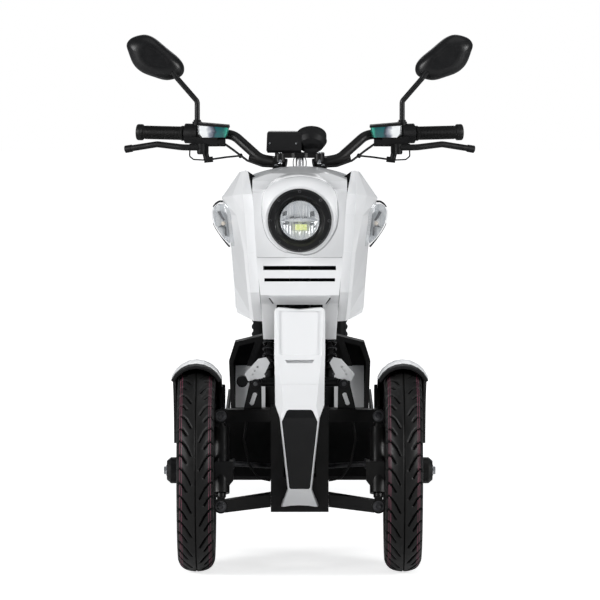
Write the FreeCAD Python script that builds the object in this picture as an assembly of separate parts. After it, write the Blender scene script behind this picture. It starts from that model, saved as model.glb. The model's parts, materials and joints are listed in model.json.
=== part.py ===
"""Electric reverse trike: two steered front wheels on tilting arms, one driven rear wheel.

Units are millimetres. +Z is up, +X is the rider's left and the trike faces -Y.
The pieces are laid out with Y = 0 at the front axle and Z = 0 on the ground. They are moved
together at the end, so that the origin lies on the ground under the middle of the length.
"""

import FreeCAD
import Part
import math
import os

V = FreeCAD.Vector

# Overall layout
WHEELBASE = 1270.0
REAR_OVERHANG = 306.0
TRACK = 456.0

# Front wheels
FRONT_TYRE_R = 224.0
FRONT_TYRE_W = 82.0
FRONT_TYRE_DEPTH = 74.0
RIM_W = 62.0
HUB_CAP_R = 29.0
HUB_CAP_REACH = 66.0
SPOKES = 5
SEAT_TO_DISC = 45.0
DISC_T = 4.0
DISC_OFFSET = 24.0
AXLE_R = 9.0

# Rear wheel
REAR_TYRE_R = 229.0
REAR_TYRE_W = 100.0
REAR_TYRE_DEPTH = 79.0
REAR_RIM_W = 84.0
SEAT_TO_MOTOR = 38.0
MOTOR_W = 76.0
TYRE_FACETS = 64

# Steering and front suspension
RAKE = 18.0
KINGPIN_X = 174.0
KINGPIN_R = 11.0
SLEEVE_WALL = 8.0
STEM_R = 14.0
STEM_NECK_R = 9.0
STEM_Y = 63.6
PITMAN_Z = 246.0
STEER_ARM = 50.0
RUNNING_GAP = 0.05
UPPER_ARM_Z = 342.0
LOWER_ARM_Z = 148.0
ARM_T = 28.0
ARM_EYE_R = 16.0
ARM_TINE_T = 6.0
LUG_W = 14.0
PIN_R = 5.0
TURNING_GAP = 5.0
TIE_ROD_DROP = 14.5
TIE_ROD_R = 5.5
TIE_EYE_R = 11.0
TIE_EYE_T = 12.0
TIE_TONGUE_T = 5.0
TIE_TINE_T = 3.5
SEAT_GAP = 0.3

# Shock absorbers
TOWER_X, TOWER_Z, TOWER_R = 98.0, 416.0, 14.0
TOWER_FRONT, TOWER_REAR = 18.0, 28.0
SHOCK_X = 66.0
SHOCK_LOW_Y = 46.0
SHOCK_HIGH_Y, SHOCK_HIGH_Z = 140.0, 548.0
REAR_SHOCK_LOW_AHEAD, REAR_SHOCK_LOW_Z = 38.0, 282.0
REAR_SHOCK_HIGH_AHEAD, REAR_SHOCK_HIGH_Z = 124.0, 548.0
SHOCK_EYE_R, SHOCK_EYE_W = 11.0, 18.0

# Rear end: how far ahead of the rear axle the swingarm turns and the tray ends
PIVOT_AHEAD, PIVOT_Z, PIVOT_R = 470.0, 250.0, 18.0
FRONT_TIE_Y = 400.0
TRAY_END_AHEAD = 570.0

# Front fenders
FENDER_GAP = 18.0
FENDER_T = 4.0
FENDER_HALF_W = 55.0
FENDER_DROP = 36.0
FENDER_AHEAD = 14.0
FENDER_BEHIND = 80.0
LINER_T = 2.5

# Frame
COLUMN_HALF_W = 48.0
COLUMN_FOOT_HALF_W = 64.0
COLUMN_FOOT_TOP = 366.0
COLUMN_FRONT = -10.0
COLUMN_REAR = 42.0
COLUMN_LOW = 132.0
COLUMN_TOP = 560.0
HEAD_TUBE_R = 24.0
TUBE_R = 13.0
RAIL_X = 98.0

# Headlamp
LAMP_Z = 782.0
BEZEL_R = 70.0
LENS_R = 45.0
HOOD_HALF_W = 84.0
HOOD_WIDEST, HOOD_ABOVE, HOOD_BELOW = 46.0, 99.0, 72.0

# Bodywork
WALL = 5.0
SHIELD_TOP = 884.0
FLOOR_TOP = 331.0
FLOOR_HALF_W = 156.0
TRAY_LOW = 168.0
TRAY_FRONT = 264.0
SEAT_BASE_Z = 700.0
TAIL_LOW = 614.0
TAIL_REACH = -60.0
SEAT_HINGE_AHEAD, SEAT_HINGE_Z = 660.0, 692.0
HINGE_PIN_R = 4.0
HINGE_LUG_X, HINGE_LUG_T = 46.0, 12.0

# Holes for a carrier and a number plate
CARRIER_BEHIND = 102.0
CARRIER_X, CARRIER_HALF_Y, CARRIER_HOLE_R = 50.0, 18.0, 3.2
PLATE_BOLT_X, PLATE_BOLT_Z = 60.0, 456.0

# Handlebar
BAR_R = 11.0
GRIP_R = 15.5
GRIP_FLANGE_R = 18.5
BAR_END_X = 365.0
PLATE_Z = 905.0
CLAMP_X = 50.0
MIRROR_BASE = (232.0, 342.0, 981.0)
HOSE_R = 2.6


# Small shape helpers


def polygon(points):
    return Part.makePolygon([V(*p) for p in points] + [V(*points[0])])


def prism(points, direction):
    return Part.Face(polygon(points)).extrude(V(*direction))


def plate_yz(points, x0, x1):
    """A plate with its outline in the Y-Z plane, from x0 to x1."""
    return prism([(x0, y, z) for y, z in points], (x1 - x0, 0, 0))


def plate_xz(points, y0, y1):
    """A plate with its outline in the X-Z plane, from y0 to y1."""
    return prism([(x, y0, z) for x, z in points], (0, y1 - y0, 0))


def plate_xy(points, z0, z1):
    """A plate with its outline in the X-Y plane, from z0 to z1."""
    return prism([(x, y, z0) for x, y in points], (0, 0, z1 - z0))


def block(x0, x1, y0, y1, z0, z1):
    return Part.makeBox(x1 - x0, y1 - y0, z1 - z0, V(x0, y0, z0))


def rod(start, end, radius):
    a, b = V(*start), V(*end)
    return Part.makeCylinder(radius, (b - a).Length, a, b - a)


def cone(start, end, r_start, r_end):
    a, b = V(*start), V(*end)
    return Part.makeCone(r_start, r_end, (b - a).Length, a, b - a)


def loft(sections):
    return Part.makeLoft([polygon(s) for s in sections], True, True)


def skin(sections):
    """A solid between rings of points; its sides and ends are split into triangles."""
    faces = []

    def triangle(a, b, c):
        if len({a, b, c}) == 3:
            faces.append(Part.Face(polygon([a, b, c])))

    count = len(sections[0])
    for low, high in zip(sections, sections[1:]):
        for i in range(count):
            j = (i + 1) % count
            triangle(low[i], low[j], high[j])
            triangle(low[i], high[j], high[i])
    for end in (sections[0], sections[-1]):
        for i in range(1, count - 1):
            triangle(end[0], end[i], end[i + 1])
    solid = Part.makeSolid(Part.makeShell(faces))
    if solid.Volume < 0:
        solid.reverse()
    return solid.removeSplitter()


def union(shapes):
    return shapes[0].multiFuse(shapes[1:]).removeSplitter() if len(shapes) > 1 else shapes[0]


def mirrored(shape):
    return shape.mirror(V(0, 0, 0), V(1, 0, 0))


def both_sides(shape):
    return [shape, mirrored(shape)]


def moved(shape, dx=0.0, dy=0.0, dz=0.0):
    copy = shape.copy()
    copy.translate(V(dx, dy, dz))
    return copy


def bent_path(points, bend):
    """A wire of straight runs, with an arc of radius bend at each corner."""
    pts = [V(*p) for p in points]
    edges, last = [], pts[0]
    for before, corner, after in zip(pts, pts[1:], pts[2:]):
        a, b = (before - corner).normalize(), (after - corner).normalize()
        turn = math.pi - a.getAngle(b)
        back = bend * math.tan(turn / 2)
        start, end = corner + a * back, corner + b * back
        centre = corner + (a + b).normalize() * (bend / math.cos(turn / 2))
        middle = centre + (corner - centre).normalize() * bend
        edges.append(Part.LineSegment(last, start).toShape())
        edges.append(Part.Arc(start, middle, end).toShape())
        last = end
    edges.append(Part.LineSegment(last, pts[-1]).toShape())
    return Part.Wire(edges)


def bent_tube(points, bend, radius):
    """A round bar along a bent path."""
    path = bent_path(points, bend)
    start = V(*points[0])
    ring = Part.Wire(Part.makeCircle(radius, start, V(*points[1]) - start))
    return path.makePipeShell([ring], True, False)


def ring_about_x(profile, x, y, z, turn=360.0, start=0.0):
    """A profile of (offset along X, radius) turned about the X line through y, z.

    start is measured from straight up, towards the rear.
    """
    face = Part.Face(polygon([(x + dx, y, z + r) for dx, r in profile]))
    face.rotate(V(x, y, z), V(1, 0, 0), -start)
    return face.revolve(V(x, y, z), V(1, 0, 0), -turn)


def faceted_ring(profile, x, y, z, count):
    """A closed profile of (offset along X, radius) carried about the X line in flat facets."""
    rings = []
    for i in range(count):
        angle = 2 * math.pi * i / count
        rings.append([V(x + dx, y + r * math.sin(angle), z + r * math.cos(angle)) for dx, r in profile])
    faces = []
    for here, there in zip(rings, rings[1:] + rings[:1]):
        for j in range(len(profile)):
            k = (j + 1) % len(profile)
            faces.append(Part.Face(Part.makePolygon([here[j], here[k], there[k], there[j], here[j]])))
    shell = Part.makeShell(faces)
    shell.sewShape()
    solid = Part.makeSolid(shell.Shells[0])
    if solid.Volume < 0:
        solid.reverse()
    return solid


def skin_cut(form, outline, depth):
    """The front skin of a form inside an X-Z outline, depth thick."""
    return form.common(plate_xz(outline, -200, 200)).cut(moved(form, dy=depth))


def raked(shape, origin):
    """Tips a shape made about the local Z axis back by the rake, and sets it at origin."""
    shape.rotate(V(0, 0, 0), V(1, 0, 0), -RAKE)
    shape.translate(V(*origin))
    return shape


def along_rake(origin, distance):
    angle = math.radians(RAKE)
    x, y, z = origin
    return (x, y + distance * math.sin(angle), z + distance * math.cos(angle))


def level_on_kingpin(z):
    """Distance along the kingpin from the axle to height z."""
    return (z - FRONT_TYRE_R) / math.cos(math.radians(RAKE))


def rear_y(ahead):
    """The Y that lies this far ahead of the rear axle."""
    return WHEELBASE - ahead


# Steering layout worked out from the sizes above
STEM_ORIGIN = (0.0, STEM_Y, PITMAN_Z)
KINGPIN_ORIGIN = (KINGPIN_X, 0.0, FRONT_TYRE_R)
SIN_RAKE, COS_RAKE = math.sin(math.radians(RAKE)), math.cos(math.radians(RAKE))
ARM_LEVEL = STEM_Y * SIN_RAKE + (PITMAN_Z - FRONT_TYRE_R) * COS_RAKE
KINGPIN_AHEAD = STEM_Y * COS_RAKE - (PITMAN_Z - FRONT_TYRE_R) * SIN_RAKE
STEM_TOP = (PLATE_Z - PITMAN_Z) / COS_RAKE
WHEEL_X = TRACK / 2
FRONT_SEAT_R = FRONT_TYRE_R - FRONT_TYRE_DEPTH
REAR_SEAT_R = REAR_TYRE_R - REAR_TYRE_DEPTH
DISC_R = FRONT_SEAT_R - SEAT_TO_DISC
MOTOR_R = REAR_SEAT_R - SEAT_TO_MOTOR
PIVOT_Y = rear_y(PIVOT_AHEAD)
TRAY_REAR = rear_y(TRAY_END_AHEAD)
SEAT_HINGE_Y = rear_y(SEAT_HINGE_AHEAD)
CARRIER_Y = rear_y(-CARRIER_BEHIND)
ARM_EYE_W = LUG_W + 2 * (ARM_TINE_T + SEAT_GAP)
SHOCK_LOW = (SHOCK_X, SHOCK_LOW_Y, TOWER_Z)
SHOCK_HIGH = (SHOCK_X, SHOCK_HIGH_Y, SHOCK_HIGH_Z)
REAR_SHOCK_LOW = (RAIL_X, rear_y(REAR_SHOCK_LOW_AHEAD), REAR_SHOCK_LOW_Z)
REAR_SHOCK_HIGH = (RAIL_X, rear_y(REAR_SHOCK_HIGH_AHEAD), REAR_SHOCK_HIGH_Z)


# Wheels


def tyre(x, y, radius, width, depth, seat_half):
    """A tyre on a rim seat: bead, bulging sidewall, shoulder and crown."""
    half = width / 2
    seat = (radius - depth) / math.cos(math.pi / TYRE_FACETS)
    side = [
        (seat_half, seat),
        (seat_half, seat + depth * 0.14),
        (half, seat + depth * 0.46),
        (half * 0.94, seat + depth * 0.74),
        (half * 0.62, seat + depth * 0.93),
    ]
    profile = side + [(0.0, radius)] + [(-dx, r) for dx, r in reversed(side)]
    return faceted_ring(profile, x, y, radius, TYRE_FACETS)


def rim_barrel(x, y, z, width, seat_r):
    half = width / 2
    lip_r, drop_r = seat_r + 9.0, seat_r - 12.0
    lip_t = 4.0
    profile = [
        (-half, lip_r),
        (-half + lip_t, lip_r),
        (-half + lip_t, seat_r - SEAT_GAP / 2),
        (half - lip_t, seat_r - SEAT_GAP / 2),
        (half - lip_t, lip_r),
        (half, lip_r),
        (half, drop_r),
        (-half, drop_r),
    ]
    return ring_about_x(profile, x, y, z)


def spoke(x, y, z, inner_r, outer_r, inner_x, outer_x, thick, wide):
    """One straight tapered spoke, pointing up, between two radii."""

    def section(r, cx, half_t, half_w):
        return [
            (x + cx - half_t, y - half_w, z + r),
            (x + cx + half_t, y - half_w * 0.6, z + r),
            (x + cx + half_t, y + half_w * 0.6, z + r),
            (x + cx - half_t, y + half_w, z + r),
        ]

    return loft(
        [
            section(inner_r, inner_x, thick * 0.65, wide * 0.62),
            section((inner_r + outer_r) / 2, (inner_x + outer_x) / 2, thick * 0.5, wide * 0.42),
            section(outer_r, outer_x, thick * 0.5, wide * 0.55),
        ]
    )


def around(shape, count, x, y, z, turn=0.0):
    """Copies of a shape spread evenly about the X line through y, z."""
    copies = []
    for i in range(count):
        copy = shape.copy()
        copy.rotate(V(x, y, z), V(1, 0, 0), turn + 360.0 * i / count)
        copies.append(copy)
    return copies


def front_rim():
    """The left front rim with its brake disc, hub and hub cap."""
    x, y, z = WHEEL_X, 0.0, FRONT_TYRE_R
    hub_in, hub_out = -DISC_OFFSET - DISC_T / 2, 38.0
    hub_r = 30.0
    bore_end = HUB_CAP_REACH - 10.0
    arms = around(spoke(x, y, z, hub_r - 6.0, FRONT_SEAT_R - 10.0, 16.0, 24.0, 12.0, 34.0), SPOKES, x, y, z)
    hub = rod((x + hub_in, y, z), (x + hub_out, y, z), hub_r)
    cap = ring_about_x(
        [
            (hub_out - 2.0, 0.0),
            (hub_out - 2.0, HUB_CAP_R),
            (HUB_CAP_REACH - 9.0, HUB_CAP_R),
            (HUB_CAP_REACH, HUB_CAP_R - 8.0),
            (HUB_CAP_REACH, 0.0),
        ],
        x, y, z,
    )
    disc_low, disc_high = -DISC_OFFSET - DISC_T / 2, -DISC_OFFSET + DISC_T / 2
    disc = ring_about_x(
        [(disc_low, DISC_R - 32.0), (disc_low, DISC_R), (disc_high, DISC_R), (disc_high, DISC_R - 32.0)], x, y, z
    )
    carrier = around(
        block(x + disc_low, x + disc_high, y - 9.0, y + 9.0, z + hub_r - 4.0, z + DISC_R - 30.0), 6, x, y, z, 30.0
    )
    bore = rod((x + hub_in - 1.0, y, z), (x + bore_end, y, z), AXLE_R + RUNNING_GAP)
    return union([rim_barrel(x, y, z, RIM_W, FRONT_SEAT_R), hub, cap, disc] + arms + carrier).cut(bore)


def rear_rim():
    """The rear rim around its hub motor, with a brake disc on the right."""
    x, y, z = 0.0, WHEELBASE, REAR_TYRE_R
    half = MOTOR_W / 2
    motor = ring_about_x(
        [(-half, 0.0), (-half, MOTOR_R - 14.0), (-half + 12.0, MOTOR_R), (half - 12.0, MOTOR_R),
         (half, MOTOR_R - 14.0), (half, 0.0)],
        x, y, z,
    )
    arms = around(spoke(x, y, z, MOTOR_R - 8.0, REAR_SEAT_R - 10.0, 0.0, 0.0, 26.0, 40.0), 7, x, y, z)
    disc_x = -half - 9.0
    disc = ring_about_x(
        [(disc_x, MOTOR_R - 50.0), (disc_x, MOTOR_R - 8.0), (disc_x + DISC_T, MOTOR_R - 8.0),
         (disc_x + DISC_T, MOTOR_R - 50.0)],
        x, y, z,
    )
    carrier = rod((disc_x, y, z), (-half + 1.0, y, z), MOTOR_R - 48.0)
    bore = rod((-100.0, y, z), (100.0, y, z), AXLE_R + RUNNING_GAP)
    return union([rim_barrel(x, y, z, REAR_RIM_W, REAR_SEAT_R), motor, disc, carrier] + arms).cut(bore)


# Front suspension, left side


def arm_eye(y, z, radius):
    return rod((KINGPIN_X, y - ARM_EYE_W / 2, z), (KINGPIN_X, y + ARM_EYE_W / 2, z), radius)


def eye_slot(y, z):
    """Room for the upright's lug and pin inside an arm's forked eye."""
    half = LUG_W / 2 + SEAT_GAP
    slot = rod((KINGPIN_X, y - half, z), (KINGPIN_X, y + half, z), ARM_EYE_R + 3.0)
    pin = rod((KINGPIN_X, y - ARM_EYE_W, z), (KINGPIN_X, y + ARM_EYE_W, z), PIN_R + SEAT_GAP)
    return slot.fuse(pin)


def arm(z, inner_z, y, inner_front, inner_rear):
    """A suspension arm: wide at the column, narrow at its forked outer eye."""
    inner_x = COLUMN_FOOT_HALF_W + SEAT_GAP
    outer_x = KINGPIN_X - ARM_EYE_R * 0.6
    half_w, half_t = ARM_EYE_W / 2, ARM_T / 2
    body = loft(
        [
            [(inner_x, inner_front, inner_z - half_t), (inner_x, inner_rear, inner_z - half_t),
             (inner_x, inner_rear, inner_z + half_t), (inner_x, inner_front, inner_z + half_t)],
            [(outer_x, y - half_w, z - half_t), (outer_x, y + half_w, z - half_t),
             (outer_x, y + half_w, z + half_t), (outer_x, y - half_w, z + half_t)],
        ]
    )
    return union([body, arm_eye(y, z, ARM_EYE_R)]).cut(eye_slot(y, z))


def pin_y(z):
    """Where the raked kingpin stands, front to rear, at height z."""
    return along_rake(KINGPIN_ORIGIN, level_on_kingpin(z))[1]


def tower_boss_rear():
    return SHOCK_LOW_Y + 12.0


def lock_tower(arm_top):
    """The slotted plate that stands on the upper arm and carries the tilt lock."""
    base = plate_xz(
        [(84.0, arm_top), (126.0, arm_top), (TOWER_X + TOWER_R - 1.0, TOWER_Z), (TOWER_X - TOWER_R + 1.0, TOWER_Z)],
        TOWER_FRONT, TOWER_REAR,
    )
    boss = rod((TOWER_X, TOWER_FRONT, TOWER_Z), (TOWER_X, tower_boss_rear(), TOWER_Z), TOWER_R)
    eye_x, eye_half = SHOCK_LOW[0], SHOCK_EYE_W / 2 + SEAT_GAP
    stub = rod((TOWER_X, SHOCK_LOW_Y, TOWER_Z), (eye_x + eye_half, SHOCK_LOW_Y, TOWER_Z), SHOCK_EYE_R - 1.0)
    pin = rod((TOWER_X, SHOCK_LOW_Y, TOWER_Z), (eye_x - eye_half, SHOCK_LOW_Y, TOWER_Z), PIN_R)
    slot_low, slot_high, slot_half = (106.0, 371.0), (99.5, 390.0), 5.0
    slot = union(
        [
            rod((slot_low[0], 0, slot_low[1]), (slot_low[0], 60, slot_low[1]), slot_half),
            rod((slot_high[0], 0, slot_high[1]), (slot_high[0], 60, slot_high[1]), slot_half),
            plate_xz(
                [(slot_low[0] - slot_half, slot_low[1]), (slot_low[0] + slot_half, slot_low[1]),
                 (slot_high[0] + slot_half, slot_high[1]), (slot_high[0] - slot_half, slot_high[1])],
                0, 60,
            ),
        ]
    )
    return union([base, boss, stub, pin]).cut(slot)


def brake_hose():
    """The hose that loops down from the upper arm to the foot of the column."""
    start = (118.0, 0.536 * pin_y(UPPER_ARM_Z) - 8.5, UPPER_ARM_Z - ARM_T / 2 + 4.0)
    end = (COLUMN_FOOT_HALF_W + SEAT_GAP + HOSE_R / 4, 8.0, 200.0)
    return bent_tube([start, (124.0, 4.0, 292.0), (112.0, 2.0, 236.0), (92.0, 4.0, 206.0), end], 16.0, HOSE_R)


def suspension_arms():
    upper_y, lower_y = pin_y(UPPER_ARM_Z), pin_y(LOWER_ARM_Z)
    upper = arm(UPPER_ARM_Z, UPPER_ARM_Z + 4.0, upper_y, COLUMN_FRONT + 4.0, COLUMN_REAR)
    lower = arm(LOWER_ARM_Z, LOWER_ARM_Z + 9.0, lower_y, COLUMN_FRONT, COLUMN_REAR)
    upper = union([upper, lock_tower(UPPER_ARM_Z + 8.0), brake_hose()])
    return both_sides(upper) + both_sides(lower)


def upright():
    """The fixed kingpin, with a lug at each end between the tines of an arm's eye."""
    low, high = level_on_kingpin(LOWER_ARM_Z), level_on_kingpin(UPPER_ARM_Z)
    neck = ARM_EYE_R + KINGPIN_R * SIN_RAKE
    pin = Part.makeCylinder(KINGPIN_R, high - low - 2 * neck, V(0, 0, low + neck))
    pieces = [raked(pin, KINGPIN_ORIGIN)]
    for z, away in ((LOWER_ARM_Z, 1), (UPPER_ARM_Z, -1)):
        y = pin_y(z)
        pieces.append(rod((KINGPIN_X, y - LUG_W / 2, z), (KINGPIN_X, y + LUG_W / 2, z), ARM_EYE_R))
        pieces.append(rod((KINGPIN_X, y - ARM_EYE_W / 2, z), (KINGPIN_X, y + ARM_EYE_W / 2, z), PIN_R))
        neck_z = z + away * (neck + 2.0)
        pieces.append(
            block(KINGPIN_X - 9, KINGPIN_X + 9, y - LUG_W / 2, y + LUG_W / 2, min(z, neck_z), max(z, neck_z))
        )
    return union(pieces)


def knuckle():
    """The left knuckle: sleeve, stub axle, steering arm, brake caliper and fender stay."""
    sleeve_r = KINGPIN_R + SLEEVE_WALL
    off = (ARM_EYE_R + TURNING_GAP + sleeve_r * SIN_RAKE) / COS_RAKE
    sleeve_low, sleeve_high = level_on_kingpin(LOWER_ARM_Z) + off, level_on_kingpin(UPPER_ARM_Z) - off
    sleeve = raked(Part.makeCylinder(sleeve_r, sleeve_high - sleeve_low, V(0, 0, sleeve_low)), KINGPIN_ORIGIN)
    bore = raked(Part.makeCylinder(KINGPIN_R + RUNNING_GAP, 400, V(0, 0, -200)), KINGPIN_ORIGIN)
    body_low = LOWER_ARM_Z + ARM_EYE_R + 2 * TURNING_GAP
    inboard, outboard = KINGPIN_X - 27.0, WHEEL_X - FRONT_TYRE_W / 2
    body_high = FRONT_TYRE_R + 22.0
    body = plate_xz(
        [(inboard, body_high), (outboard, body_high), (outboard, body_low), (KINGPIN_X - 4, body_low),
         (inboard, body_low + 29)],
        -22.0, 16.0,
    )
    y, z = 0.0, FRONT_TYRE_R
    axle_end = WHEEL_X + HUB_CAP_REACH - 14.0
    axle = rod((KINGPIN_X, y, z), (axle_end, y, z), AXLE_R)
    flange = rod((KINGPIN_X, y, z), (WHEEL_X - DISC_OFFSET - DISC_T / 2 - 1.0, y, z), 20.0)
    arm_t = 10.0
    lever = Part.makeBox(18.0, STEER_ARM, arm_t, V(-9.0, 0, ARM_LEVEL - arm_t / 2))
    tip = Part.makeCylinder(9.0, arm_t, V(0, STEER_ARM, ARM_LEVEL - arm_t / 2))
    stud_len = TIE_ROD_DROP + TIE_EYE_T / 2 + 2.0
    stud = Part.makeCylinder(PIN_R, stud_len, V(0, STEER_ARM, ARM_LEVEL - stud_len))
    steering_arm = raked(lever.fuse([tip, stud]), KINGPIN_ORIGIN)
    disc_x = WHEEL_X - DISC_OFFSET
    caliper = ring_about_x(
        [(-16.0, DISC_R - 30.0), (-16.0, DISC_R + 14.0), (16.0, DISC_R + 14.0), (16.0, DISC_R - 30.0)],
        disc_x, y, z, 38.0, 36.0,
    )
    slot = ring_about_x(
        [(-5.0, 0.0), (-5.0, DISC_R + 5.0), (5.0, DISC_R + 5.0), (5.0, 0.0)], disc_x, y, z, 60.0, 25.0
    )
    stay_front = KINGPIN_X - 8.0
    fender_edge = WHEEL_X - FENDER_HALF_W
    near = DISC_R / 105.0
    caliper_stay = plate_yz(
        [(0, z + 12), (0, z + 38), (48 * near, z + 76 * near), (86 * near, z + 58 * near),
         (70 * near, z + 34 * near), (30, z + 12)],
        disc_x - 15.0, disc_x - 9.0,
    )
    far = (FRONT_TYRE_R + FENDER_GAP + FENDER_T - FENDER_DROP) / 210.0
    stay = plate_yz(
        [(4, z + 38), (10, z + 68), (72, z + 108), (104 * far, z + 180 * far), (146 * far, z + 164 * far),
         (112, z + 106), (40, z + 50)],
        stay_front, fender_edge - SEAT_GAP,
    )
    parts = [sleeve, body, flange, axle, steering_arm, caliper.cut(slot), caliper_stay, stay]
    return union(parts).cut(bore)


def fender_profile(inset, thick):
    """Half round arch over the tyre, as (offset, radius) points, outer side first."""
    arch = (FENDER_HALF_W**2 + FENDER_DROP**2) / (2 * FENDER_DROP)
    centre = FRONT_TYRE_R + FENDER_GAP + FENDER_T - arch
    reach = math.asin(FENDER_HALF_W / arch)
    steps = 8
    angles = [-reach + 2 * reach * i / steps for i in range(steps + 1)]
    outer = [((arch - inset) * math.sin(a), centre + (arch - inset) * math.cos(a)) for a in angles]
    inside = arch - inset - thick
    inner = [(inside * math.sin(a), centre + inside * math.cos(a)) for a in angles]
    return outer + inner[::-1]


def fender():
    turn = FENDER_AHEAD + FENDER_BEHIND
    return ring_about_x(fender_profile(0.0, FENDER_T), WHEEL_X, 0.0, FRONT_TYRE_R, turn, -FENDER_AHEAD)


def fender_liner():
    turn = FENDER_AHEAD + FENDER_BEHIND
    profile = fender_profile(FENDER_T + SEAT_GAP, LINER_T)
    return ring_about_x(profile, WHEEL_X, 0.0, FRONT_TYRE_R, turn, -FENDER_AHEAD)


def tie_rod(forked):
    """The left tie rod, from the drop arm's pin to the knuckle's pin.

    Both rods share the drop arm's pin: the tongue of one sits in the fork of the other.
    """
    inner = V(0, STEER_ARM, -TIE_ROD_DROP)
    outer = V(KINGPIN_X, STEER_ARM - KINGPIN_AHEAD, -TIE_ROD_DROP)
    length = (outer - inner).Length
    fork_t = TIE_TONGUE_T + 2 * (SEAT_GAP + TIE_TINE_T)
    slot_r = TIE_EYE_R + 3.0
    head_t = fork_t if forked else TIE_TONGUE_T
    head = Part.makeCylinder(TIE_EYE_R, head_t, V(0, 0, -head_t / 2))
    link = Part.makeBox(slot_r + 6.0, 2 * TIE_ROD_R, head_t, V(0, -TIE_ROD_R, -head_t / 2))
    shank = Part.makeCylinder(TIE_ROD_R, length - slot_r - 3.0, V(slot_r + 3.0, 0, 0), V(1, 0, 0))
    boot = Part.makeCylinder(TIE_EYE_R + 1.0, 4.0, V(length - 29.0, 0, 0), V(1, 0, 0))
    eye = Part.makeCylinder(TIE_EYE_R, TIE_EYE_T, V(length, 0, -TIE_EYE_T / 2))
    whole = union([head, link, shank, boot, eye])
    if forked:
        room = TIE_TONGUE_T + 2 * SEAT_GAP
        whole = whole.cut(Part.makeCylinder(slot_r, room, V(0, 0, -room / 2)))
    for x in (0.0, length):
        whole = whole.cut(Part.makeCylinder(PIN_R + RUNNING_GAP, 40, V(x, 0, -20)))
    whole.Placement = FreeCAD.Placement(inner, FreeCAD.Rotation(V(1, 0, 0), outer - inner))
    return raked(whole, STEM_ORIGIN)


# Frame


def frame():
    """Steering head, tilt column, backbone, floor rails and seat rails."""
    head_low, head_high = 66.0, STEM_TOP - 70.0
    head = raked(Part.makeCylinder(HEAD_TUBE_R, head_high - head_low, V(0, 0, head_low)), STEM_ORIGIN)
    bore = raked(Part.makeCylinder(STEM_R + RUNNING_GAP, 1200, V(0, 0, -100)), STEM_ORIGIN)
    column = block(-COLUMN_HALF_W, COLUMN_HALF_W, COLUMN_FRONT, COLUMN_REAR, COLUMN_LOW, COLUMN_TOP).fuse(
        block(-COLUMN_FOOT_HALF_W, COLUMN_FOOT_HALF_W, COLUMN_FRONT, COLUMN_REAR, COLUMN_LOW, COLUMN_FOOT_TOP)
    )
    window = block(-COLUMN_HALF_W + 12, COLUMN_HALF_W - 12, COLUMN_FRONT - 1, COLUMN_REAR - 8, 210, 320)
    gusset = plate_yz([(COLUMN_REAR - 2, 310), (70, 310), (150, COLUMN_TOP), (COLUMN_REAR - 2, COLUMN_TOP)], -8, 8)
    backbone = bent_tube([(0, 185, 600), (0, 235, 420), (0, 300, 250)], 120.0, 22.0)
    eye_half = SHOCK_EYE_W / 2 + SEAT_GAP
    top_y, top_z = SHOCK_HIGH_Y, SHOCK_HIGH_Z
    cross = rod((eye_half - SHOCK_X, top_y, top_z), (SHOCK_X - eye_half, top_y, top_z), SHOCK_EYE_R - 1.0)
    cross_pin = rod((-SHOCK_X - eye_half, top_y, top_z), (SHOCK_X + eye_half, top_y, top_z), PIN_R)
    cross_stay = plate_yz(
        [(30, 520), (top_y, top_z - 9), (top_y + 8, top_z), (top_y, top_z + 9), (30, COLUMN_TOP)],
        12 - COLUMN_HALF_W, COLUMN_HALF_W - 12,
    )
    rails, shock_ears = [], []
    for side in (-1, 1):
        rails.append(
            bent_tube(
                [(side * 32, 30, 152), (side * 32, 230, 180), (side * 36, 318, 196),
                 (side * 140, FRONT_TIE_Y - 8, 196), (side * 140, PIVOT_Y - 88, 200),
                 (side * RAIL_X, PIVOT_Y, PIVOT_Z), (side * RAIL_X, rear_y(260), 560),
                 (side * RAIL_X, rear_y(-60), 598)],
                40.0, TUBE_R,
            )
        )
        ear_x = RAIL_X - eye_half
        y, z = REAR_SHOCK_HIGH[1], REAR_SHOCK_HIGH[2]
        ear = block(ear_x - 7.0, ear_x, y - 12, y + 12, z - 10, z + 28)
        ear_pin = rod((ear_x - 7.0, y, z), (RAIL_X + eye_half, y, z), PIN_R)
        shock_ears += [mirrored(ear), mirrored(ear_pin)] if side < 0 else [ear, ear_pin]
    tie = rod((-RAIL_X, rear_y(344), 436), (RAIL_X, rear_y(344), 436), 10.0)
    tail_tie = rod((-RAIL_X, rear_y(30), 587), (RAIL_X, rear_y(30), 587), 9.0)
    front_tie = rod((-140, FRONT_TIE_Y, 196), (140, FRONT_TIE_Y, 196), 10.0)
    spine = rod((0, 290, 276), (0, 300, 192.7), 16.0)
    spine_tie = rod((-32, 300, 192.7), (32, 300, 192.7), 10.0)
    pivot = rod((-RAIL_X, PIVOT_Y, PIVOT_Z), (RAIL_X, PIVOT_Y, PIVOT_Z), PIVOT_R)
    parts = [column.cut(window), head, gusset, backbone, cross, cross_pin, cross_stay, tie, tail_tie, front_tie,
             spine, spine_tie, pivot]
    parts += rails + shock_ears
    return union(parts).cut(bore)


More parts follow.
